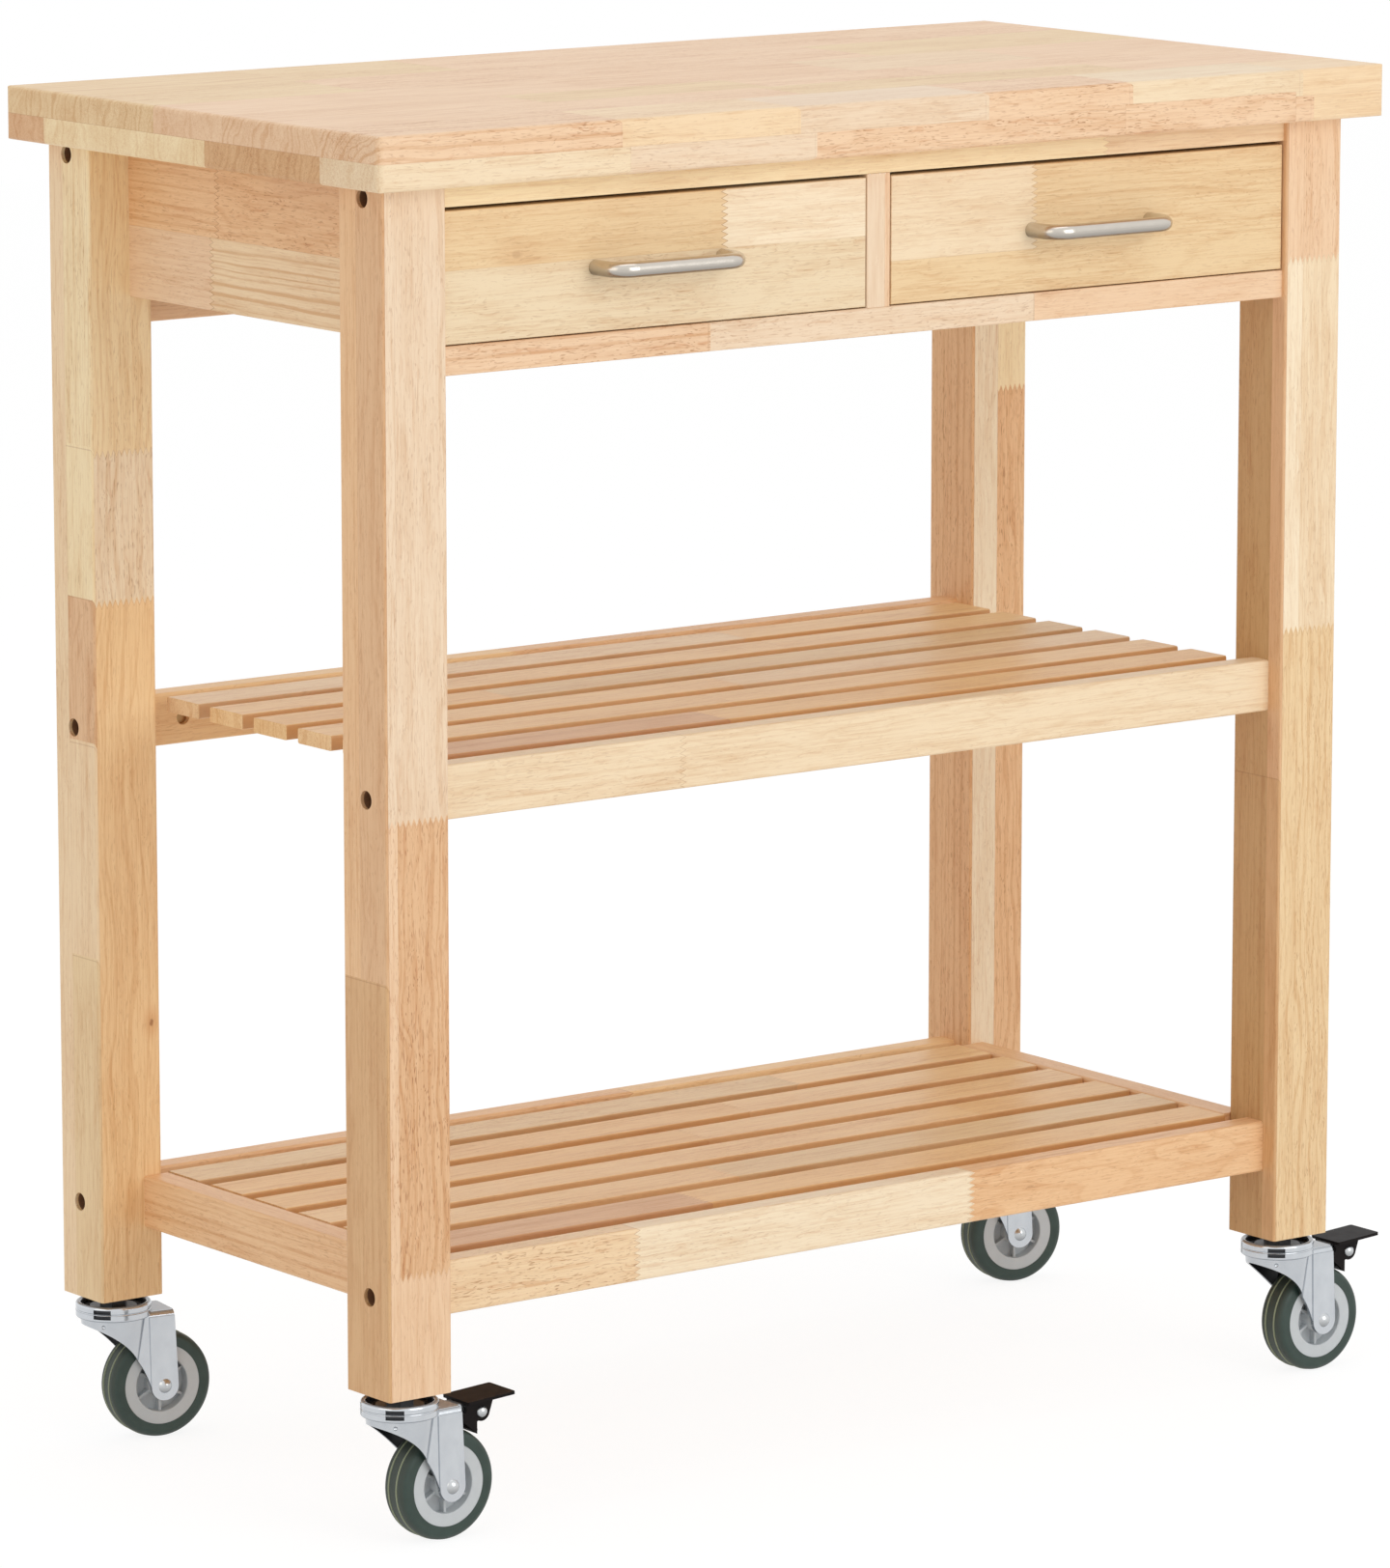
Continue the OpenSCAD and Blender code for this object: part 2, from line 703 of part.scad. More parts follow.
module end_rail(sx) {
    x = [min(sx * end_rail_in_x, sx * end_rail_out_x), max(sx * end_rail_in_x, sx * end_rail_out_x)];
    placed() color("burlywood") difference() {
        board_y([x[0], -leg_in_y, lower_z0], [x[1], leg_in_y, lower_shelf_height],
            rail_edge_radius);
        end_rail_dowel_places() dowel_hole();
    }
}

module slats(half_length, top) {
    placed() color("wheat") difference() {
        for (y = slat_y)
            board_x([-half_length, y - slat_width / 2, top - slat_thickness],
                [half_length, y + slat_width / 2, top], slat_edge_radius);
        slat_screw_places() screw_hole();
    }
}

module shelf_battens() {
    placed() color("tan") difference() {
        for (x = batten_x, top = shelf_tops)
            board_y([x - batten_width / 2, -rail_in_y, top - slat_thickness - batten_height],
                [x + batten_width / 2, rail_in_y, top - slat_thickness], 1);
        batten_dowel_places() dowel_hole();
        slat_screw_places() screw_hole();
    }
}

// Hardware of the frame

module frame_bolts() {
    placed() color("dimgray") bolt_places() frame_bolt();
}

module barrel_nuts() {
    placed() color("silver") nut_places() barrel_nut();
}

module dowels() {
    placed() color("wheat") {
        dowel_x_places() dowel();
        apron_dowel_places() dowel();
        end_rail_dowel_places() dowel();
        batten_dowel_places() dowel();
        partition_dowel_places() dowel();
    }
}

module wood_screws() {
    placed() color("silver") {
        slat_screw_places() wood_screw();
        top_screw_places() wood_screw();
        divider_screw_places() wood_screw();
        runner_screw_places() wood_screw();
        bracket_screw_places() wood_screw(short_screw_length);
    }
}

// an angle of sheet metal under the worktop, drawn with its corner at the origin
module worktop_brackets() {
    placed() color("silver") difference() {
        bracket_places() translate([0, bracket_width / 2, 0]) rotate([90, 0, 0])
            linear_extrude(bracket_width) difference() {
                translate([0, -bracket_leg]) square(bracket_leg);
                translate([bracket_thickness, -bracket_leg - bracket_thickness])
                    square(bracket_leg);
            }
        bracket_screw_places() screw_hole(short_screw_length);
    }
}

// Drawers: s is -1 for the left one and 1 for the right one

module drawer_front(s) {
    cx = s * bay_mid_x;
    a = [cx - front_half, zone_front_y, front_z0];
    b = [cx + front_half, box_y0, front_z1];
    placed() color("burlywood") difference() {
        intersection() {
            board_x(a, b, 1);
            board_z(a, b, 1);
        }
        // groove for the front edge of the bottom
        block([cx - box_in_half - bottom_tongue, box_y0 - bottom_tongue - fit, bottom_z0 - fit],
            [cx + box_in_half + bottom_tongue, box_y0 + 1, bottom_z1 + fit]);
        for (side = [-1, 1])
            bar_y([cx + side * handle_centres / 2, zone_front_y - 1, handle_z],
                screw_diameter / 2 + 0.25, drawer_front_thickness + 2);
    }
}

module drawer_sides(s) {
    cx = s * bay_mid_x;
    placed() color("wheat") difference() {
        for (side = [-1, 1]) {
            x = cx + side * (box_half - drawer_side_thickness / 2);
            board_y([x - drawer_side_thickness / 2, box_y0, box_z0],
                [x + drawer_side_thickness / 2, box_y1, box_z1], 1.5);
        }
        for (side = [-1, 1]) {
            groove = cx + side * box_half;
            block([groove - runner_groove, runner_y0 - 3, runner_z0 - runner_clearance],
                [groove + runner_groove, box_y1 + 1, runner_z1 + runner_clearance]);
        }
        // grooves for the bottom
        block([cx - box_in_half - bottom_tongue - fit, box_y0 - 1, bottom_z0 - fit],
            [cx + box_in_half + bottom_tongue + fit, box_y1 + 1, bottom_z1 + fit]);
    }
}

module drawer_back(s) {
    cx = s * bay_mid_x;
    placed() color("wheat")
        board_x([cx - box_in_half, box_y1 - drawer_side_thickness, bottom_z1],
            [cx + box_in_half, box_y1, box_z1], 1.5);
}

module drawer_bottom(s) {
    cx = s * bay_mid_x;
    placed() color("wheat")
        block([cx - box_in_half - bottom_tongue + fit, box_y0 - bottom_tongue + fit, bottom_z0],
            [cx + box_in_half + bottom_tongue - fit, box_y1, bottom_z1]);
}

module drawer_handle(s) {
    r = handle_diameter / 2;
    half = handle_centres / 2;
    foot = handle_reach - handle_bend;
    placed() color("silver") translate([s * bay_mid_x, zone_front_y, handle_z]) difference() {
        union() {
            for (side = [-1, 1]) {
                translate([side * half, 0, 0]) rotate([90, 0, 0]) cylinder(h = foot, r = r);
                // a quarter of a ring joins the foot to the bar
                translate([side * (half - handle_bend), -foot, 0])
                    rotate([0, 0, side > 0 ? -90 : 180])
                        rotate_extrude(angle = 90) translate([handle_bend, 0]) circle(r);
            }
            bar_x([handle_bend - half, -handle_reach, 0], r, 2 * (half - handle_bend));
        }
        for (side = [-1, 1])
            translate([side * half, 1, 0]) rotate([90, 0, 0])
                cylinder(h = foot, r = screw_diameter / 2 + fit);
    }
}

module handle_screws(s) {
    head = 2.4;
    length = drawer_front_thickness + handle_reach - handle_bend - 2;
    placed() color("silver")
        for (side = [-1, 1])
            translate([s * bay_mid_x + side * handle_centres / 2, box_y0, handle_z])
                rotate([90, 0, 0]) difference() {
                    union() {
                        cylinder(h = length, d = screw_diameter);
                        translate([0, 0, -head]) cylinder(h = head, d = 2 * screw_diameter);
                    }
                    for (turn = [0, 90])
                        rotate([0, 0, turn]) translate([-2.2, -0.5, -head - tiny])
                            cube([4.4, 1, 1.4]);
                }
}

// Casters: i counts them in the order of caster_turns

module at_caster(i) {
    placed() translate([caster_x[i], caster_y[i], 0]) rotate([0, 0, caster_turns[i]]) children();
}

module caster_stems() {
    color("silver") for (i = [0:3]) at_caster(i) {
        bar_z([0, 0, caster_height], stem_diameter / 2, stem_length);
        bar_z([0, 0, pin_head_z0 + 1], swivel_pin_diameter / 2, caster_height - pin_head_z0 - 1);
        // hexagon under the leg, bearing seat and the riveted head under the crown
        bar_z([0, 0, seat_top], hexagon_radius, caster_height - seat_top, $fn = 6);
        bar_z([0, 0, plate_z1 + slip], seat_radius, seat_top - plate_z1 - slip);
        bar_z([0, 0, pin_head_z0], swivel_pin_diameter / 2 + 3, pin_head_z1 - pin_head_z0);
    }
}

// height of the long curve's upper end, where it meets the round neck of the fork
sweep_from = [-neck_radius + 0.7, plate_z0 - 5];
sweep_to = [band_front_x, axle_z];
sweep_chord = norm(sweep_to - sweep_from);
sweep_rise = sqrt(max(0, pow(fork_sweep_radius, 2) - pow(sweep_chord / 2, 2)));
sweep_along = (sweep_to - sweep_from) / sweep_chord;
sweep_middle = (sweep_from + sweep_to) / 2 + sweep_rise * [sweep_along[1], -sweep_along[0]];

// the fork seen from the side: everything of the pressed sheet lies inside this outline
module fork_outline() {
    difference() {
        polygon([
            [-crown_radius - 1, plate_z1],
            [-crown_radius - 1, axle_z],
            [fork_back_x, axle_z],
            [fork_back_x - 2.5, plate_z1]
        ]);
        translate(sweep_middle) circle(fork_sweep_radius, $fn = 180);
    }
    translate([caster_trail, axle_z]) circle(fork_eye_radius);
}

// the straight cheeks and the tapering round neck; grow moves every face out by that much
module fork_body(grow) {
    half = fork_in + grow;
    top = plate_z0 + grow;
    low = axle_z - fork_eye_radius - 1;
    r = 1.6 + grow;
    rotate([90, 0, 90]) linear_extrude(2 * fork_back_x) {
        translate([-half, low]) square([2 * half, top - r - low]);
        translate([-half + r, low]) square([2 * half - 2 * r, top - low]);
        for (sy = [-1, 1])
            translate([sy * (half - r), top - r]) circle(r);
    }
    translate([0, 0, low])
        cylinder(h = top - low, r1 = half, r2 = neck_radius - fork_sheet + grow);
}

// half of a cut through the ring of the swivel race: a rolled wall round an open channel
module crown_profile() {
    half_wall = crown_wall / 2;
    difference() {
        union() {
            translate([race_in, plate_z0 + 1])
                square([crown_radius - half_wall - race_in, race_floor - plate_z0 - 1]);
            translate([crown_radius - crown_wall, crown_z0 + 1.2])
                square([crown_wall, crown_height - 1.2 - half_wall]);
            translate([crown_radius - crown_wall, crown_z0]) square([crown_wall - 1.2, 2]);
            translate([crown_radius - 1.2, crown_z0 + 1.2]) circle(1.2);
            translate([crown_radius - half_wall, crown_z1 - half_wall]) circle(half_wall);
        }
        // seam between the two pressed halves of the ring
        translate([crown_radius + 0.3, crown_middle]) circle(0.7);
    }
}

module fork(i, braked) {
    sheet_top = plate_z1 - plate_z0;
    color("lightsteelblue") at_caster(i) difference() {
        union() {
            intersection() {
                difference() {
                    fork_body(fork_sheet);
                    fork_body(0);
                }
                translate([0, crown_radius, 0]) rotate([90, 0, 0])
                    linear_extrude(2 * crown_radius) fork_outline();
            }
            // crown plate, closed over the wheel
            bar_z([0, 0, plate_z0], neck_radius, sheet_top);
            translate([0, -fork_out + 2, plate_z0])
                cube([fork_back_x - 3, 2 * fork_out - 4, fork_sheet]);
            // flat raised band down the back of each arm
            for (sy = [-1, 1])
                translate([0, sy * (fork_out + 0.4) + 0.4, 0]) rotate([90, 0, 0])
                    linear_extrude(0.8) {
                        polygon([
                            [band_front_x, axle_z],
                            [fork_back_x, axle_z],
                            [fork_back_x - 2.3, plate_z0 - 1.6],
                            [band_front_x - 1, plate_z0 - 1.6]
                        ]);
                        translate([caster_trail, axle_z]) circle(fork_eye_radius);
                    }
            rotate_extrude($fn = 96) crown_profile();
            if (braked) translate([0, lug_half, 0]) rotate([90, 0, 0]) linear_extrude(2 * lug_half) {
                translate([fork_back_x - 8, lug_z0])
                    square([pedal_pin_x - fork_back_x + 8, plate_z0 + 1 - lug_z0]);
                translate([pedal_pin_x, pedal_pin_z]) circle(lug_radius);
            }
        }
        bar_z([0, 0, plate_z0 - 1], swivel_pin_diameter / 2 + fit, crown_z1 - plate_z0 + 2);
        // a pair of windows in each side of the ring and a pressed dimple under them
        for (side = [-1, 1])
            rotate([0, 0, side * window_angle]) {
                for (z = [crown_middle - window_bar / 2 - window_height, crown_middle + window_bar / 2])
                    translate([crown_radius - window_depth, -window_width / 2, z])
                        cube([2 * window_depth, window_width, window_height]);
                translate([neck_radius - 0.3, 0, plate_z0 - 4.5]) sphere(dimple_radius);
            }
        bar_y([caster_trail, -band_out - 1, axle_z], axle_diameter / 2 - 1 + fit, 2 * band_out + 2);
        if (braked) bar_y([pedal_pin_x, -lug_half - 1, pedal_pin_z],
            pedal_pin_diameter / 2 + fit, 2 * lug_half + 2);
    }
}

// a low dome of radius r and height h, flat side at 0, rising along +Z
module dome(r, h) {
    ball = (r * r + h * h) / (2 * h);
    intersection() {
        translate([0, 0, h - ball]) sphere(ball);
        cylinder(h = h, r = r);
    }
}

module axle(i) {
    color("silver") at_caster(i) translate([caster_trail, 0, axle_z]) {
        rotate([90, 0, 0])
            cylinder(h = 2 * (fork_in - fit), d = axle_diameter, center = true);
        rotate([90, 0, 0])
            cylinder(h = 2 * band_out + 1, r = axle_diameter / 2 - 1, center = true);
        for (side = [-1, 1])
            rotate([-side * 90, 0, 0]) translate([0, 0, band_out]) dome(axle_head_radius, 2.6);
    }
}

module wheel(i) {
    hub_radius = axle_diameter / 2 + 5;
    color("gainsboro") at_caster(i) translate([caster_trail, 0, axle_z]) rotate([90, 0, 0])
        difference() {
            union() {
                rotate_extrude($fn = 96) {
                    // rim with a rolled inner edge, web and hub
                    translate([recess_diameter / 2, -rim_half + 0.8])
                        square([rim_diameter / 2 - recess_diameter / 2, 2 * rim_half - 1.6]);
                    translate([recess_diameter / 2 + 0.8, -rim_half])
                        square([rim_diameter / 2 - recess_diameter / 2 - 0.8, 2 * rim_half]);
                    for (sy = [-1, 1])
                        translate([recess_diameter / 2 + 0.8, sy * (rim_half - 0.8)]) circle(0.8);
                    translate([hub_radius - 1, -2])
                        square([recess_diameter / 2 - hub_radius + 2, 4]);
                    translate([0, -hub_half]) square([hub_radius, 2 * hub_half]);
                }
                // stiffening ribs from the hub to the rim, on both faces
                for (k = [0:5])
                    rotate([0, 0, 60 * k + 30]) translate([hub_radius - 1, -0.9, -rim_half + 4])
                        cube([recess_diameter / 2 - hub_radius + 2, 1.8, 2 * rim_half - 8]);
            }
            cylinder(h = 2 * hub_half + 2, r = axle_diameter / 2 + fit, center = true);
        }
}

module tyre(i) {
    r0 = rim_diameter / 2 + fit;
    r1 = wheel_diameter / 2;
    half = tyre_width / 2;
    shoulder = 4.5;
    tread = r1 - 0.4;
    line_y = 4.3;
    color("darkslategray") at_caster(i) translate([caster_trail, 0, axle_z]) rotate([90, 0, 0])
        rotate_extrude($fn = 120) {
            translate([r0, -half]) square([tread - shoulder - r0, 2 * half]);
            translate([r0, -half + shoulder]) square([tread - r0, 2 * (half - shoulder)]);
            for (sy = [-1, 1]) {
                translate([tread - shoulder, sy * (half - shoulder)]) circle(shoulder);
                // a raised line round the tread
                translate([r1 - 1, sy * line_y - 0.35]) square([1, 0.7]);
            }
        }
}

// Brakes

module brake_pin(i) {
    color("silver") at_caster(i) translate([pedal_pin_x, 0, pedal_pin_z]) {
        rotate([90, 0, 0])
            cylinder(h = 2 * cheek_out + 1, d = pedal_pin_diameter, center = true);
        for (side = [-1, 1])
            rotate([-side * 90, 0, 0]) translate([0, 0, cheek_out + slip]) dome(3.9, 2.4);
    }
}

// the pedal seen from the side: its cheek hangs from the plate round the pin, down to the shoe
module cheek_outline() {
    difference() {
        union() {
            polygon([
                [pedal_pin_x - 14.5, pedal_pin_z - 5],
                [pedal_x0, pedal_z0 + 0.5],
                [pedal_pin_x + 9, pedal_z0 + 1],
                [pedal_pin_x + 5.8, pedal_pin_z - 2],
                [shoe_tip[0], pedal_pin_z - 6],
                shoe_tip
            ]);
            translate([pedal_pin_x, pedal_pin_z]) circle(6.2);
        }
        translate([pedal_pin_x - 15, pedal_pin_z + 3]) circle(3.2);
        translate([caster_trail, axle_z]) circle(shoe_r0, $fn = 96);
    }
}

// a slice of a ring round the wheel, just clear of the tyre
module shoe_outline() {
    far = 2 * shoe_r1;
    translate([caster_trail, axle_z]) intersection() {
        difference() {
            circle(shoe_r1, $fn = 96);
            circle(shoe_r0, $fn = 96);
        }
        polygon([
            [0, 0],
            [far * sin(shoe_angles[0]), far * cos(shoe_angles[0])],
            [far * sin(shoe_angles[1]), far * cos(shoe_angles[1])]
        ]);
    }
}

module brake_pedal(i) {
    color("black") at_caster(i) difference() {
        union() {
            translate([pedal_x0, 0, pedal_z0]) rotate([0, -pedal_slope, 0])
                board_z([0, -pedal_width / 2, 0], [pedal_length, pedal_width / 2, pedal_plate], 1.5);
            for (sy = [-1, 1])
                translate([0, sy * (cheek_in + cheek_out) / 2 + 1, 0]) rotate([90, 0, 0])
                    linear_extrude(2) cheek_outline();
            translate([0, cheek_in + tiny, 0]) rotate([90, 0, 0])
                linear_extrude(2 * (cheek_in + tiny)) shoe_outline();
        }
        bar_y([pedal_pin_x, -cheek_out - 1, pedal_pin_z],
            pedal_pin_diameter / 2 + fit, 2 * cheek_out + 2);
    }
}

worktop();
leg(-1, -1);  // leg_front_left
leg(1, -1);  // leg_front_right
leg(-1, 1);  // leg_back_left
leg(1, 1);  // leg_back_right
side_apron(-1);  // side_apron_left
side_apron(1);  // side_apron_right
back_apron();
drawer_top_rail();
drawer_bottom_rail();
drawer_divider();
drawer_partition();
drawer_runners();
shelf_rail(-1, upper_z0);  // upper_shelf_front_rail
shelf_rail(1, upper_z0);  // upper_shelf_back_rail
slats(upper_slat_half, upper_shelf_height);  // upper_shelf_slats
shelf_rail(-1, lower_z0);  // lower_shelf_front_rail
shelf_rail(1, lower_z0);  // lower_shelf_back_rail
end_rail(-1);  // lower_shelf_left_rail
end_rail(1);  // lower_shelf_right_rail
slats(lower_slat_half, lower_shelf_height);  // lower_shelf_slats
shelf_battens();
frame_bolts();
barrel_nuts();
dowels();
wood_screws();
worktop_brackets();
caster_stems();
drawer_front(-1);  // drawer_left_front
drawer_sides(-1);  // drawer_left_sides
drawer_back(-1);  // drawer_left_back
drawer_bottom(-1);  // drawer_left_bottom
drawer_handle(-1);  // drawer_left_handle
handle_screws(-1);  // drawer_left_handle_screws
drawer_front(1);  // drawer_right_front
drawer_sides(1);  // drawer_right_sides
drawer_back(1);  // drawer_right_back
drawer_bottom(1);  // drawer_right_bottom
drawer_handle(1);  // drawer_right_handle
handle_screws(1);  // drawer_right_handle_screws
fork(0, true);  // fork_front_left
fork(1, true);  // fork_front_right
fork(2, false);  // fork_back_left
fork(3, false);  // fork_back_right
axle(0);  // axle_front_left
axle(1);  // axle_front_right
axle(2);  // axle_back_left
axle(3);  // axle_back_right
wheel(0);  // wheel_front_left
wheel(1);  // wheel_front_right
wheel(2);  // wheel_back_left
wheel(3);  // wheel_back_right
tyre(0);  // tyre_front_left
tyre(1);  // tyre_front_right
tyre(2);  // tyre_back_left
tyre(3);  // tyre_back_right
brake_pin(0);  // brake_pin_left
brake_pin(1);  // brake_pin_right
brake_pedal(0);  // brake_pedal_left
brake_pedal(1);  // brake_pedal_right
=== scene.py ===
"""Looks of a kitchen island trolley, dressed over its packed construction.

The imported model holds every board, fastener, drawer and caster at its real size. This script gives
each of them its finish and sets up the floor, the light and the camera. Sizes in the classes are
millimetres, measured from the low corner of the board that they describe.
"""
import logging
import math
import random
from dataclasses import dataclass, field, replace
from enum import Enum

import bpy
from mathutils import Euler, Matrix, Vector


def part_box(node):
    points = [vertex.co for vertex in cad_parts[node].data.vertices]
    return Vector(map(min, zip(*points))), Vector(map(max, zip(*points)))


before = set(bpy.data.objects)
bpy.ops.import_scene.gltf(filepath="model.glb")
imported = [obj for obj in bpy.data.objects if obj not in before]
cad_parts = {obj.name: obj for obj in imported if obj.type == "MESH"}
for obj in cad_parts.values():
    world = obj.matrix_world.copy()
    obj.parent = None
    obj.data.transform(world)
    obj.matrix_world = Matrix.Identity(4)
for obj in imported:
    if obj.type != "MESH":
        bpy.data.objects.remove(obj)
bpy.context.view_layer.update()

log = logging.getLogger("trolley")

MM = 0.001
WHITE = (1.0, 1.0, 1.0)
Colour = tuple[float, float, float]
Point = tuple[float, float, float]
Span = tuple[float, float]


def linear(red: float, green: float, blue: float) -> Colour:
    """Turns a display colour of 0 to 255 into the linear colour that a shader takes.

    Args:
        red: Red, 0 to 255.
        green: Green, 0 to 255.
        blue: Blue, 0 to 255.

    Returns:
        The same colour as three linear numbers.
    """
    def channel(value: float) -> float:
        """Undoes the display curve of one channel."""
        part = value / 255
        return part / 12.92 if part <= 0.04045 else ((part + 0.055) / 1.055) ** 2.4
    return channel(red), channel(green), channel(blue)


class Tone(Enum):
    """Colours of the light hardwood's staves, roughly from the palest to the darkest."""

    IVORY = linear(250, 231, 200)
    BUTTER = linear(252, 229, 185)
    CREAM = linear(245, 222, 187)
    SAND = linear(242, 217, 187)
    WHEAT = linear(240, 218, 182)
    STRAW = linear(246, 217, 177)
    GOLD = linear(250, 214, 163)
    HONEY = linear(239, 209, 163)
    PEACH = linear(241, 211, 173)
    ROSE = linear(243, 208, 171)
    FAWN = linear(246, 206, 150)
    AMBER = linear(242, 199, 152)
    TAN = linear(232, 189, 145)
    RUSSET = linear(224, 181, 132)
    OCHRE = linear(210, 170, 119)


(IVORY, BUTTER, CREAM, SAND, WHEAT, STRAW, GOLD, HONEY, PEACH, ROSE, FAWN, AMBER, TAN, RUSSET,
 OCHRE) = Tone


class Axis(Enum):
    """An axis of the trolley: width, depth or height."""

    X = 0
    Y = 1
    Z = 2


class Value:
    """A node's output that takes part in arithmetic; each operator adds a Math node."""

    def __init__(self, tree: "Tree", socket: bpy.types.NodeSocket) -> None:
        """Keeps the socket and the tree that it belongs to."""
        self.tree = tree
        self.socket = socket

    def maths(self, operation: str, *others: "Term") -> "Value":
        """Adds one Math node with this value as its first input."""
        return self.tree.add("ShaderNodeMath", {"operation": operation}, [self, *others])

    def __add__(self, other: "Term") -> "Value":
        """Adds."""
        return self.maths("ADD", other)

    __radd__ = __add__

    def __sub__(self, other: "Term") -> "Value":
        """Subtracts."""
        return self.maths("SUBTRACT", other)

    def __rsub__(self, other: float) -> "Value":
        """Subtracts this value from a number."""
        return self.tree.add("ShaderNodeMath", {"operation": "SUBTRACT"}, [other, self])

    def __mul__(self, other: "Term") -> "Value":
        """Multiplies."""
        return self.maths("MULTIPLY", other)

    __rmul__ = __mul__

    def __truediv__(self, other: "Term") -> "Value":
        """Divides."""
        return self.maths("DIVIDE", other)

    def __abs__(self) -> "Value":
        """Takes the size without the sign."""
        return self.maths("ABSOLUTE")

    def above(self, edge: float) -> "Value":
        """Gives 1 above the edge and 0 below it."""
        return self.maths("GREATER_THAN", edge)

    def within(self, span: Span) -> "Value":
        """Gives 1 between two numbers and 0 outside them."""
        return self.near((span[0] + span[1]) / 2, (span[1] - span[0]) / 2)

    def near(self, place: float, reach: float) -> "Value":
        """Gives 1 within a distance of a number."""
        return self.maths("COMPARE", place, reach)

    def most(self, other: "Term") -> "Value":
        """Takes the larger of two."""
        return self.maths("MAXIMUM", other)

    def rise(self, low: float, high: float, to_low: float = 0.0, to_high: float = 1.0) -> "Value":
        """Maps the range from low to high smoothly to the range from to_low to to_high."""
        settings = {"interpolation_type": "SMOOTHSTEP"}
        return self.tree.add("ShaderNodeMapRange", settings, [self, low, high, to_low, to_high])


Term = Value | float
Paint = Value | Colour


class Tree:
    """A node tree that is filled from expressions."""

    def __init__(self, owner: bpy.types.Material | bpy.types.World) -> None:
        """Empties the owner's tree.

        Args:
            owner: What the tree belongs to.
        """
        owner.use_nodes = True
        self.nodes = owner.node_tree.nodes
        self.links = owner.node_tree.links
        self.nodes.clear()

    def node(self, kind: str, settings: dict, inputs: list | dict) -> bpy.types.Node:
        """Adds a node.

        Args:
            kind: The node's type.
            settings: Its properties, set before its sockets; "stops" fills a colour ramp.
            inputs: What its sockets take, in order or by name or number.

        Returns:
            The node.
        """
        node = self.nodes.new(kind)
        for key, setting in settings.items():
            if key == "stops":
                self.fill_ramp(node.color_ramp, setting)
            else:
                setattr(node, key, setting)
        pairs = inputs.items() if isinstance(inputs, dict) else enumerate(inputs)
        for key, source in pairs:
            self.feed(node.inputs[key], source)
        return node

    def add(self, kind: str, settings: dict, inputs: list | dict, output: int = 0) -> Value:
        """Adds a node as above and gives back one of its outputs."""
        return Value(self, self.node(kind, settings, inputs).outputs[output])

    def feed(self, socket: bpy.types.NodeSocket, source: "Term | Paint") -> None:
        """Links a value to a socket, or sets the socket to a number or a colour.

        Args:
            socket: The socket.
            source: What it takes.
        """
        if isinstance(source, Value):
            self.links.new(source.socket, socket)
        elif socket.type == "RGBA" and isinstance(source, tuple):
            socket.default_value = (*source, 1.0)
        else:
            socket.default_value = source

    @staticmethod
    def fill_ramp(ramp: bpy.types.ColorRamp, stops: list[tuple[float, Colour]]) -> None:
        """Gives a ramp steps of plain colour.

        Args:
            ramp: The ramp.
            stops: Where each step starts, and its colour.
        """
        ramp.interpolation = "CONSTANT"
        while len(ramp.elements) < len(stops):
            ramp.elements.new(1.0)
        for element, (place, colour) in zip(ramp.elements, stops):
            element.position = place
            element.color = (*colour, 1.0)

    def seen(self) -> Value:
        """Gives 1 to the camera, to mirrors and through glass, and 0 to light.

        Returns:
            That value.
        """
        rays = self.node("ShaderNodeLightPath", {}, []).outputs
        seen = Value(self, rays["Is Camera Ray"])
        for name in ("Is Glossy Ray", "Is Transmission Ray"):
            seen = seen.most(Value(self, rays[name]))
        return seen


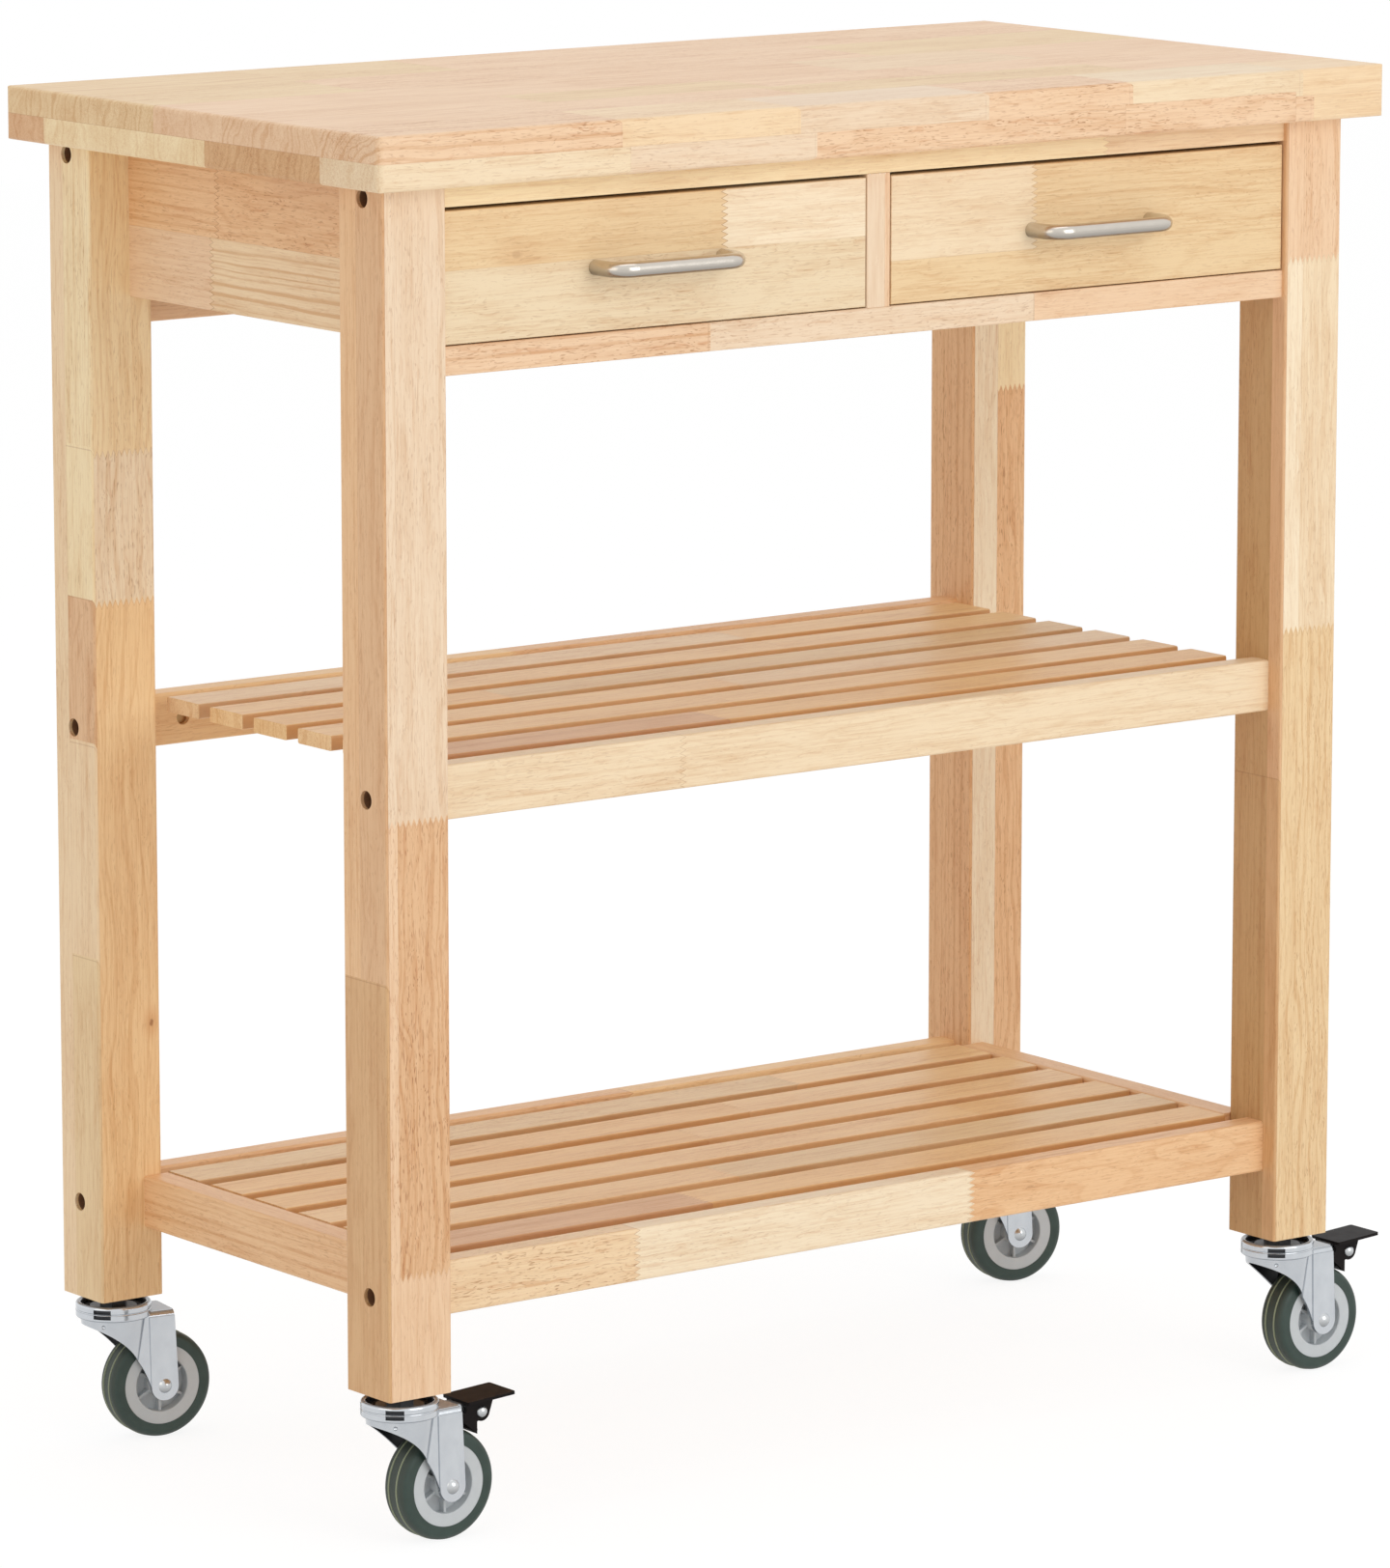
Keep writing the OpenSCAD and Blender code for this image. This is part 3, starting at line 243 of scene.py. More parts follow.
class Graph(Tree):
    """The node tree of one piece's material, read in millimetres of the trolley's frame."""

    def __init__(self, name: str, low: Vector, high: Vector) -> None:
        """Starts a material with its Principled shader and its coordinates.

        Args:
            name: The material's name.
            low: The piece's low corner in metres.
            high: The piece's high corner in metres.
        """
        self.material = bpy.data.materials.new(name)
        super().__init__(self.material)
        self.shader = self.node("ShaderNodeBsdfPrincipled", {}, [])
        surface = Value(self, self.shader.outputs[0])
        self.node("ShaderNodeOutputMaterial", {}, {"Surface": surface})
        self.coordinates = self.node("ShaderNodeTexCoord", {}, []).outputs
        self.low = low
        self.size = tuple((high - low) / MM)

    def parts(self, whole: Value, kind: str = "ShaderNodeSeparateXYZ") -> list[Value]:
        """Takes a vector or a colour apart into three values."""
        return [self.add(kind, {}, [whole], output) for output in range(3)]

    def place(self, low: Vector = Vector()) -> list[Value]:
        """Gives the surface point's three coordinates in millimetres from a corner.

        Args:
            low: The corner, in metres.

        Returns:
            The values along X, Y and Z.
        """
        own = Value(self, self.coordinates["Object"])
        inputs = [own, (1 / MM,) * 3, tuple(-low / MM)]
        return self.parts(self.add("ShaderNodeVectorMath", {"operation": "MULTIPLY_ADD"}, inputs))

    def normal(self) -> list[Value]:
        """Gives the three parts of the surface's own direction."""
        return self.parts(Value(self, self.coordinates["Normal"]))

    def facing(self, axis: Axis) -> Value:
        """Tells how squarely the surface faces along an axis, 0 to 1."""
        return abs(self.normal()[axis.value])

    def noise(self, place: list[Value], sizes: Point, detail: float = 2.0) -> Value:
        """Adds noise at a point; its sizes are those along the point's three values."""
        point = self.add("ShaderNodeCombineXYZ", {}, [a / size for a, size in zip(place, sizes)])
        return self.add("ShaderNodeTexNoise", {}, {"Vector": point, "Scale": 1.0, "Detail": detail})

    def noise_line(self, place: Value) -> Value:
        """Adds noise along one value."""
        inputs = {"W": place, "Scale": 1.0, "Detail": 2.0}
        return self.add("ShaderNodeTexNoise", {"noise_dimensions": "1D"}, inputs)

    def mix(self, factor: Term, first: Paint, second: Paint, blend: str = "MIX") -> Value:
        """Mixes two colours; the factor says how much of the second there is."""
        settings = {"data_type": "RGBA", "blend_type": blend, "clamp_factor": True}
        return self.add("ShaderNodeMix", settings, {0: factor, 6: first, 7: second}, 2)

    def stain(self, factor: Term, colour: Paint, base: Paint, stain: Colour) -> Value:
        """Mixes a colour with a base that a stain multiplies."""
        return self.mix(factor, colour, self.mix(1.0, base, stain, "MULTIPLY"))

    def bump(self, height: Value, depth: float, strength: float) -> None:
        """Feeds a height of 0 to 1 to the shader's normal as a relief, its depth in millimetres."""
        inputs = {"Strength": strength, "Distance": depth * MM, "Height": height}
        self.feed(self.shader.inputs["Normal"], self.add("ShaderNodeBump", {}, inputs))

    def finish(self, **sockets: "Term | Paint") -> None:
        """Feeds the shader's sockets, which are named with underscores."""
        for name, source in sockets.items():
            self.feed(self.shader.inputs[name.replace("_", " ")], source)


def scaled(colour: Colour, factor: float) -> Colour:
    """Makes a colour paler or darker."""
    return tuple(min(1.0, factor * part) for part in colour)


class Finish:
    """A finish, which paints the material of a piece."""

    def dress(self, node: str) -> None:
        """Gives a carried-over node its material.

        Args:
            node: The node's name.
        """
        low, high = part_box(node)
        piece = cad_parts[node]
        graph = Graph(node + "_finish", low, high)
        self.paint(graph)
        piece.data.materials.clear()
        piece.data.materials.append(graph.material)
        log.info("dressed %s", node)

    def paint(self, graph: Graph) -> None:
        """Fills the material's tree; each finish does it in its own way."""
        raise NotImplementedError


@dataclass(frozen=True)
class Stave:
    """One length of wood in a row.

    Attributes:
        length: Its length along the grain.
        tone: Its colour.
        pores: How many dark pores show, 0 to 1.
        rings: How strongly its growth rings show, 0 to 1.
    """

    length: float
    tone: Tone
    pores: float = 0.35
    rings: float = 0.15


@dataclass(frozen=True)
class Row:
    """Staves joined end to end, glued beside the board's other rows.

    Attributes:
        staves: The staves, from the board's low end on.
        x: Their span in width, or None for all of it.
        y: Their span in depth, or None for all of it.
        z: Their span in height, or None for all of it.
    """

    staves: tuple[Stave, ...]
    x: Span | None = None
    y: Span | None = None
    z: Span | None = None


@dataclass(frozen=True)
class Knot:
    """A small knot in a face.

    Attributes:
        place: Its middle, from the board's low corner.
        radius: The radius of its dark eye.
        strength: How dark it is, 0 to 1.
    """

    place: Point
    radius: float = 2.5
    strength: float = 1.0


@dataclass(frozen=True)
class Hole:
    """A bore along X with painted shade inside it.

    Attributes:
        y: Its place in depth.
        z: Its place in height.
        side: The end that it starts from: 0 for the low one and 1 for the high one.
        radius: Its radius.
        lip: How far in its painted shade starts.
    """

    y: float
    z: float
    side: int
    radius: float = 6.2
    lip: float = 2.5


@dataclass(frozen=True)
class WoodFinish(Finish):
    """Clear satin lacquer on a finger-jointed board.

    Attributes:
        grain: The axis that the fibres run along.
        teeth: The axis along which the finger joints' teeth follow each other.
        rows: The rows of staves; later rows lie over earlier ones.
        knots: The board's knots.
        holes: The board's bores, with painted shade inside them.
        roughness: Roughness of the lacquer.
        sides: How much painted shade darkens the front and back faces, 0 to 1.
        joints: How dark the finger joints are beside the rows' seams.
    """

    grain: Axis
    teeth: Axis
    rows: tuple[Row, ...]
    knots: tuple[Knot, ...] = ()
    holes: tuple[Hole, ...] = ()
    roughness: float = 0.42
    sides: float = 0.0
    joints: float = 1.0

    # the finger joints' teeth, half the width of a dark line along a seam and along a joint, and
    # how far the ramps of the staves reach past the board's length
    TOOTH_PITCH = 4.2
    TOOTH_LENGTH = 5.0
    GLUE_LINE = 0.22
    JOINT_LINE = 0.396
    RAMP_REACH = 1.02

    # sizes of the figure's parts along the grain and across it
    SWAY = (120.0, 34.0, 34.0)
    FIBRE = (42.0, 0.8, 0.8)
    CLOUD = (110.0, 22.0, 22.0)
    BEND = (24.0, 11.0, 11.0)
    STREAK = (48.0, 2.1, 2.1)
    DASH = (8.5, 0.75, 0.75)
    WOBBLE = (2.5, 2.5, 2.5)

    # the growth rings: their width, their pith's place beside the stave, how far a seed moves it,
    # how far the rings sway and how far the streaks bend
    RING = 3.8
    PITH = (30.0, 40.0)
    PITH_SHIFT = 150.0
    SWAY_REACH = 38.0
    BEND_REACH = 7.0

    # how far a stave's seed moves its figure, and how the seed steps from stave to stave
    SHIFT = (907.0, 173.0, 91.0)
    SEED_STEPS = (0.618, 0.382)

    # how much each part of the figure darkens the wood
    RING_SHADE = 0.95
    FIBRE_SHADE = 1.15
    CLOUD_SHADE = 0.95
    STREAK_SHADE = 0.75
    PLAIN_SHADE = 0.14
    END_RING_SHADE = 0.14
    END_SHADE = 0.20

    # stains on the wood's own tone, the painted shade of front and back faces and inside a bore
    DEEP = (0.80, 0.655, 0.52)
    STREAKED = (0.72, 0.47, 0.33)
    PORE = (0.47, 0.28, 0.17)
    SIDE_SHADE = (0.60, 0.40, 0.26)
    HALO = (0.80, 0.60, 0.45)
    EYE = (0.42, 0.24, 0.15)
    BORE_SHADE = (0.24, 0.12, 0.06)

    def paint(self, graph: Graph) -> None:
        """Paints the wood's staves, figure and knots, and painted shade on its sides and bores.

        Args:
            graph: The material's tree.
        """
        place = graph.place(graph.low)
        along = place[self.grain.value]
        wave = place[self.teeth.value].maths("PINGPONG", self.TOOTH_PITCH / 2)
        joint = along + wave * (2 * self.TOOTH_LENGTH / self.TOOTH_PITCH) - self.TOOTH_LENGTH / 2
        tone, nature, glue = self.lay_rows(graph, place, joint)
        pores, rings, seed = graph.parts(nature, "ShaderNodeSeparateColor")
        across = [place[axis.value] for axis in Axis if axis is not self.grain]
        g, u, w = (value + seed * shift for value, shift in zip([along, *across], self.SHIFT))

        # growth rings round a pith beside the stave, bent a little along the grain
        ring_u = u - self.PITH[0] + graph.noise([g, u, w], self.SWAY) * self.SWAY_REACH
        ring_w = w + self.PITH[1] - seed * self.PITH_SHIFT
        radius = (ring_u * ring_u + ring_w * ring_w).maths("SQRT")
        line = graph.noise_line(radius / self.RING).rise(0.44, 0.70)
        fibre = graph.noise([g, u, w], self.FIBRE)
        cloud = graph.noise([g, u, w], self.CLOUD)
        bend = graph.noise([g, u, w], self.BEND, 1.0) * self.BEND_REACH
        streak = graph.noise([g, u + bend, w + bend], self.STREAK)
        dash = graph.noise([g, u + bend, w + bend], self.DASH, 1.0)
        where = cloud.rise(0.30, 0.72, 0.35, 1.0)

        shade = (line * rings * self.RING_SHADE + (fibre - 0.5) * self.FIBRE_SHADE
                 + (cloud - 0.5) * self.CLOUD_SHADE + (streak - 0.5) * self.STREAK_SHADE
                 + self.PLAIN_SHADE)
        end = graph.facing(self.grain).above(0.72)
        shade = shade + end * (line * self.END_RING_SHADE + self.END_SHADE)
        colour = graph.stain(shade, tone, tone, self.DEEP)
        dark_streak = streak.rise(0.58, 0.72) * pores * where * 0.55
        colour = graph.stain(dark_streak, colour, tone, self.STREAKED)
        pore = dash.rise(0.59, 0.68) * pores * where
        colour = graph.stain(pore * 0.85, colour, tone, self.PORE)
        colour = graph.stain(glue * 0.3, colour, tone, self.PORE)
        # painted shade: faces that point to the front or back are darkened
        if self.sides:
            side = graph.facing(Axis.Y).rise(0.35, 0.9, 0.0, self.sides)
            colour = graph.stain(side, colour, tone, self.SIDE_SHADE)
        for knot in self.knots:
            colour = self.add_knot(graph, colour, place, knot)
        # painted shade inside the bores
        for hole in self.holes:
            colour = self.add_hole(graph, colour, place, hole)
        graph.bump(fibre * 0.5 - pore + 0.6, 0.12, 0.35)
        rough = (fibre - 0.5) * 0.22 + pore * 0.2 + self.roughness
        graph.finish(Base_Color=colour, Roughness=rough, IOR=1.48)

    def lay_rows(self, graph: Graph, place: list[Value],
                 joint: Value) -> tuple[Value, Value, Value]:
        """Lays the rows over each other.

        Args:
            graph: The material's tree.
            place: The point in millimetres from the low corner.
            joint: The place along the grain, moved by the teeth.

        Returns:
            The tone, the nature (pores, rings and seed as one colour) and the glue lines.
        """
        length = graph.size[self.grain.value] * self.RAMP_REACH
        share = joint / length
        tone: Paint = CREAM.value
        nature: Paint = (0.3, 0.2, 0.5)
        glue: Term = 0.0
        row_step, stave_step = self.SEED_STEPS
        for index, row in enumerate(self.rows):
            ends = [0.0]
            for stave in row.staves:
                ends.append(ends[-1] + stave.length)
            stops = [max(0.0, end / length) for end in ends[:-1]]
            seeds = [(index * row_step + count * stave_step) % 1.0 for count in range(len(stops))]
            tones = [stave.tone.value for stave in row.staves]
            natures = [(stave.pores, stave.rings, seed) for stave, seed in zip(row.staves, seeds)]
            row_tone, row_nature = (
                graph.add("ShaderNodeValToRGB", {"stops": list(zip(stops, steps))}, [share])
                for steps in (tones, natures))
            cuts: Term = 0.0
            for end in ends[1:-1]:
                cuts = joint.near(end, self.JOINT_LINE) * self.joints + cuts
            spans = [(place[axis], span) for axis, span in enumerate((row.x, row.y, row.z)) if span]
            if not spans:
                tone, nature, glue = row_tone, row_nature, cuts
                continue
            inside: Term = 1.0
            grown: Term = 1.0
            for value, (low, high) in spans:
                inside = value.within((low, high)) * inside
                grown = value.within((low - self.GLUE_LINE, high + self.GLUE_LINE)) * grown
            tone = graph.mix(inside, tone, row_tone)
            nature = graph.mix(inside, nature, row_nature)
            glue = (1 - inside) * glue + inside * cuts + (grown - inside)
        if not isinstance(glue, Value):
            glue = share * 0.0
        return tone, nature, glue

    def add_knot(self, graph: Graph, colour: Value, place: list[Value], knot: Knot) -> Value:
        """Draws a dark eye in a soft brown halo that is drawn out along the grain.

        Args:
            graph: The material's tree.
            colour: The colour so far.
            place: The point in millimetres from the low corner.
            knot: The knot.

        Returns:
            The colour with the knot.
        """
        total: Term = 0.0
        for axis, (value, middle) in enumerate(zip(place, knot.place)):
            reach = knot.radius * (1.7 if axis == self.grain.value else 1.0)
            away = (value - middle) / reach
            total = away * away + total
        distance = total.maths("SQRT") + (graph.noise(place, self.WOBBLE) - 0.5) * 0.9
        halo = distance.rise(0.6, 4.5, 0.55 * knot.strength ** 0.5, 0.0)
        eye = distance.rise(0.35, 0.95, 0.75 * knot.strength, 0.0)
        colour = graph.stain(halo, colour, colour, self.HALO)
        return graph.stain(eye, colour, colour, self.EYE)

    def add_hole(self, graph: Graph, colour: Value, place: list[Value], hole: Hole) -> Value:
        """Paints shade inside a bore, from just under its mouth on.

        Args:
            graph: The material's tree.
            colour: The colour so far.
            place: The point in millimetres from the low corner.
            hole: The bore.

        Returns:
            The colour with the bore.
        """
        away_y = place[1] - hole.y
        away_z = place[2] - hole.z
        near = (away_y * away_y + away_z * away_z).maths("LESS_THAN", hole.radius ** 2)
        width = graph.size[0]
        halves = ((hole.lip, width / 2), (width / 2, width - hole.lip))
        return graph.mix(near * place[0].within(halves[hole.side]), colour, self.BORE_SHADE)


@dataclass(frozen=True)
class MetalFinish(Finish):
    """Bare or plated metal.

    Attributes:
        colour: Its base colour.
        roughness: Its roughness.
        metallic: 1 for metal and 0 for enamel.
        mottle: How much the plating varies in brightness.
        brushed: Whether it is brushed along X.
        gloss: The strength of its reflections where it is enamel.
    """

    colour: Colour
    roughness: float
    metallic: float = 1.0
    mottle: float = 0.08
    brushed: bool = False
    gloss: float = 0.5

    CLOUD = (7.0, 7.0, 7.0)
    SPECK = (0.7, 0.7, 0.7)
    GRIT = (1.1, 1.1, 1.1)
    BRUSH = (30.0, 1.1, 1.1)

    def paint(self, graph: Graph) -> None:
        """Paints the metal, with painted shade on its underside.

        Args:
            graph: The material's tree.
        """
        place = graph.place(graph.low)
        cloud = graph.noise(place, self.CLOUD, 3.0)
        speck = graph.noise(place, self.SPECK, 1.0)
        brush = graph.noise(place, self.BRUSH if self.brushed else self.GRIT)
        marks = (brush - 0.5) * (0.2 if self.brushed else 0.06)
        light = (cloud - 0.5) * self.mottle * 2 + marks * 0.6 + (speck - 0.5) * 0.05
        colour = graph.mix(light + 0.5, scaled(self.colour, 0.8), scaled(self.colour, 1.2))
        # painted shade: faces that point down are painted darker
        under = graph.normal()[2].rise(-0.95, 0.5, 0.75, 0.0)
        colour = graph.mix(under, colour, scaled(self.colour, 0.32))
        graph.bump(brush * 0.7 + speck * 0.3, 0.02, 0.25 if self.brushed else 0.12)
        rough = (cloud - 0.5) * 0.12 + marks * 0.3 + self.roughness
        graph.finish(Base_Color=colour, Roughness=rough, Metallic=self.metallic,
                     Specular_IOR_Level=self.gloss)


ZINC = MetalFinish(linear(205, 208, 210), 0.25)


@dataclass(frozen=True)
class CasterFrame:
    """Where a caster stands, which gives its finishes the caster's own frame.

    Attributes:
        x: The swivel axis in width, in millimetres of the trolley's frame.
        y: The swivel axis in depth.
        turn: The turn about the swivel axis, in radians.
        trail: The distance from the swivel axis to the axle.
    """

    x: float
    y: float
    turn: float
    trail: float = 30.0

    def own(self, graph: Graph) -> list[Value]:
        """Gives the surface point along the trail, across it and upwards."""
        x, y, z = graph.place()
        return [*self.turned(x - self.x, y - self.y), z]

    def turned(self, x: Value, y: Value) -> tuple[Value, Value]:
        """Turns two parts of a direction into the caster's frame: along the trail and across it."""
        cos, sin = math.cos(self.turn), math.sin(self.turn)
        return x * cos + y * sin, y * cos - x * sin


@dataclass(frozen=True)
class ForkFinish(Finish):
    """Bright zinc on the pressed fork, painted shade in its arms, race and the ring's windows.

    Attributes:
        caster: The caster that it belongs to.
        arm_low: The height of the arms' lower end.
        crown: The height under the crown.
        race: The radius of the race inside the ring.
        window: Half of a window's width.
        window_turn: The angle from the trail to the windows, in degrees.
        window_reach: The radii between which a window lies.
        window_height: The heights between which it lies.
    """

    caster: CasterFrame
    arm_low: float = 20.0
    crown: float = 86.3
    race: float = 21.8
    window: float = 6.1
    window_turn: float = 132.0
    window_reach: Span = (20.0, 24.85)
    window_height: Span = (87.4, 94.0)

    CLOUD = (9.0, 9.0, 14.0)
    SPECK = (1.4, 1.4, 1.4)
    MOTTLE_SHEEN_DULL = linear(196, 201, 207)
    MOTTLE_SHEEN_BRIGHT = linear(222, 226, 230)
    UNDERSIDE_SHADE = linear(104, 110, 118)
    TOP = linear(150, 154, 160)
    RACE_SHADE = linear(52, 55, 60)
    WINDOW_SHADE = linear(58, 61, 66)
    INSIDE_SHADE = linear(24, 25, 28)

    def paint(self, graph: Graph) -> None:
        """Paints the fork.

        Args:
            graph: The material's tree.
        """
        along, across, height = own = self.caster.own(graph)
        cloud = graph.noise(own, self.CLOUD, 3.0)
        speck = graph.noise(own, self.SPECK, 1.0)
        normal = graph.normal()
        # mottled plating, its contrast raised as a painted sheen of brighter and duller patches
        colour = graph.mix(cloud, self.MOTTLE_SHEEN_DULL, self.MOTTLE_SHEEN_BRIGHT)
        # painted shade: faces that point down are painted darker
        under = normal[2].rise(-0.95, 0.35, 0.8, 0.0)
        colour = graph.mix(under, colour, self.UNDERSIDE_SHADE)
        # painted shade: the arms' inside, which looks back to the caster's middle, is near black
        sideways = self.caster.turned(normal[0], normal[1])[1]
        inside = ((across * sideways).maths("LESS_THAN", -3.0)
                  * height.within((self.arm_low, self.crown)))
        radius = (along * along + across * across).maths("SQRT")
        # painted shade in the race channel under the leg
        race = radius.within((0.0, self.race)) * height.above(self.crown)
        # painted shade in the ring's windows
        turn = math.radians(self.window_turn)
        beside = abs(across) * math.cos(turn) - along * math.sin(turn)
        window = (abs(beside).within((-1.0, self.window)) * radius.within(self.window_reach)
                  * height.within(self.window_height))
        # the parts with painted shade are also rougher and less bare
        dark = inside.most(window)
        # painted shade: what faces up is darker, and duller so it mirrors less of the wood above
        top = normal[2].rise(0.45, 0.9)
        for factor, paint in ((top * 0.75, self.TOP), (race, self.RACE_SHADE), (window, self.WINDOW_SHADE),
                              (inside, self.INSIDE_SHADE)):
            colour = graph.mix(factor, colour, paint)
        graph.bump(speck * 0.3 + cloud * 0.7, 0.03, 0.08)
        rough = (cloud - 0.5) * 0.12 + (speck - 0.5) * 0.03 + dark.most(race) * 0.3 + 0.17
        bare = 0.92 - dark.most(race * 0.7).most(top * 0.7) * 0.8
        graph.finish(Base_Color=colour, Roughness=rough, Metallic=bare)


@dataclass(frozen=True)
class TyreFinish(Finish):
    """Dark green-grey rubber with two moulded lines round the tread, pale as a painted highlight.

    Attributes:
        caster: The caster that it belongs to.
        radius: The tyre's outer radius.
        line: The distance of each moulded line from the tyre's middle.
        line_half: Half of such a line's width.
        tread: How far inside the outer radius the paler tread starts, and where it is full.
    """

    caster: CasterFrame
    radius: float = 36.5
    line: float = 4.3
    line_half: float = 0.7
    tread: Span = (3.2, 0.6)

    CLOUD = (12.0, 12.0, 12.0)
    DUST = (0.9, 0.9, 0.9)
    DARK = linear(34, 50, 44)
    PALE = linear(54, 74, 66)
    TREAD = linear(62, 66, 58)
    LINE_HIGHLIGHT = linear(158, 166, 138)

    def paint(self, graph: Graph) -> None:
        """Paints the rubber.

        Args:
            graph: The material's tree.
        """
        along, across, height = own = self.caster.own(graph)
        cloud = graph.noise(own, self.CLOUD, 3.0)
        dust = graph.noise(own, self.DUST)
        colour = graph.mix(cloud, self.DARK, self.PALE)
        away_x = along - self.caster.trail
        away_z = height - self.radius
        reach = (away_x * away_x + away_z * away_z).maths("SQRT")
        tread = reach.rise(*(self.radius - inward for inward in self.tread))
        colour = graph.mix(tread * 0.5, colour, self.TREAD)
        # painted highlight: the moulded lines are painted pale
        lines = abs(across).near(self.line, self.line_half) * tread
        colour = graph.mix(lines * 0.95, colour, self.LINE_HIGHLIGHT)
        graph.bump(dust, 0.05, 0.2)
        rough = (dust - 0.5) * 0.2 + tread * 0.12 + 0.46
        graph.finish(Base_Color=colour, Roughness=rough)


@dataclass(frozen=True)
class PlasticFinish(Finish):
    """Moulded plastic with a faint grain.

    Attributes:
        colour: Its colour.
        roughness: Its roughness.
    """

    colour: Colour
    roughness: float = 0.45

    CLOUD = (8.0, 8.0, 8.0)
    GRAIN = (0.5, 0.5, 0.5)

    def paint(self, graph: Graph) -> None:
        """Paints the plastic.

        Args:
            graph: The material's tree.
        """
        place = graph.place(graph.low)
        cloud = graph.noise(place, self.CLOUD)
        grain = graph.noise(place, self.GRAIN)
        light = (cloud - 0.5) * 0.5 + (grain - 0.5) * 0.3 + 0.5
        colour = graph.mix(light, scaled(self.colour, 0.88), scaled(self.colour, 1.08))
        graph.bump(grain, 0.03, 0.2)
        graph.finish(Base_Color=colour, Roughness=(grain - 0.5) * 0.16 + self.roughness)


def lay(*staves: tuple[float | Tone, ...], **spans: Span) -> Row:
    """Lays staves end to end, each given by its length, tone, pores and rings."""
    return Row(tuple(Stave(*stave) for stave in staves), **spans)


def plain_rows(key: str, length: float, spans: list[Span], axis: Axis,
               tones: tuple[Tone, ...], shortest: float = 150.0) -> tuple[Row, ...]:
    """Lays rows of staves with lengths and tones drawn by a seeded draw.

    Args:
        key: What seeds the draw, such as the board's name.
        length: The board's length along the grain.
        spans: The rows' spans.
        axis: The axis that the spans are measured along.
        tones: The tones to draw from.
        shortest: The shortest stave.

    Returns:
        The rows.
    """
    draw = random.Random(key)
    rows = []
    for span in spans:
        staves = []
        left = length
        while left > 0:
            piece = draw.uniform(shortest, shortest * 2.6)
            staves.append(Stave(piece, draw.choice(tones), draw.uniform(0.1, 0.6),
                                draw.uniform(0.05, 0.5)))
            left -= piece
        rows.append(Row(tuple(staves), **{axis.name.lower(): span}))
    return tuple(rows)


@dataclass
class Worktop:
    """The worktop: two layers of staves along X, rounded at its edges.

    Attributes:
        length: Its length.
        upper: The upper layer's span in height.
        lower: The lower layer's span in height.
        upper_seams: The seams between the upper layer's rows, in depth.
        lower_seams: The seams between the lower layer's rows.
        patch: The span in width of a stave in the front edge that is thicker than its layer.
        patch_height: Its span in height.
    """

    length: float = 821.0
    upper: Span = (17.5, 40.0)
    lower: Span = (-5.0, 17.5)
    upper_seams: tuple[float, ...] = (-5, 64, 118, 172, 250, 335.5, 430)
    lower_seams: tuple[float, ...] = (-5, 64, 192, 378.7, 430)
    patch: Span = (594.3, 741.3)
    patch_height: Span = (-5.0, 20.6)

    def build(self) -> None:
        """Dresses the worktop."""
        mixed = (ROSE, ROSE, HONEY, ROSE, PEACH)
        rows = []
        for name, seams, height in (("upper", self.upper_seams, self.upper),
                                    ("lower", self.lower_seams, self.lower)):
            spans = list(zip(seams, seams[1:]))
            for row in plain_rows("worktop " + name, self.length, spans, Axis.Y, mixed, 120.0):
                rows.append(replace(row, z=height))
        # the staves along the front edge, and the ends that show on the left side
        front, second, third, back = zip(self.lower_seams, self.lower_seams[1:])
        rows += [
            lay((182, ROSE, 1.0, 0.6), (140, STRAW, 0.5, 0.2), (152, SAND, 0.3),
                (121, ROSE, 0.9, 0.4), (147, CREAM, 0.25), (90, STRAW, 0.15),
                y=front, z=self.upper),
            lay((189, CREAM, 0.5, 0.1), (146, SAND, 0.5, 0.1), (260, ROSE, 1.0, 0.6),
                (157, ROSE, 0.9, 0.4), (80, STRAW, 0.2), y=front, z=self.lower),
            lay((self.length, ROSE, 0.9, 0.4), x=self.patch, y=front, z=self.patch_height),
            lay((150, RUSSET, 0.8, 0.4), (300, CREAM), y=second, z=self.lower),
            lay((210, BUTTER, 0.1), (300, SAND), y=third, z=self.lower),
            lay((260, TAN, 0.5, 0.4), (300, CREAM), y=back, z=self.lower)]
        WoodFinish(Axis.X, Axis.Y, tuple(rows), joints=0.4).dress("worktop")


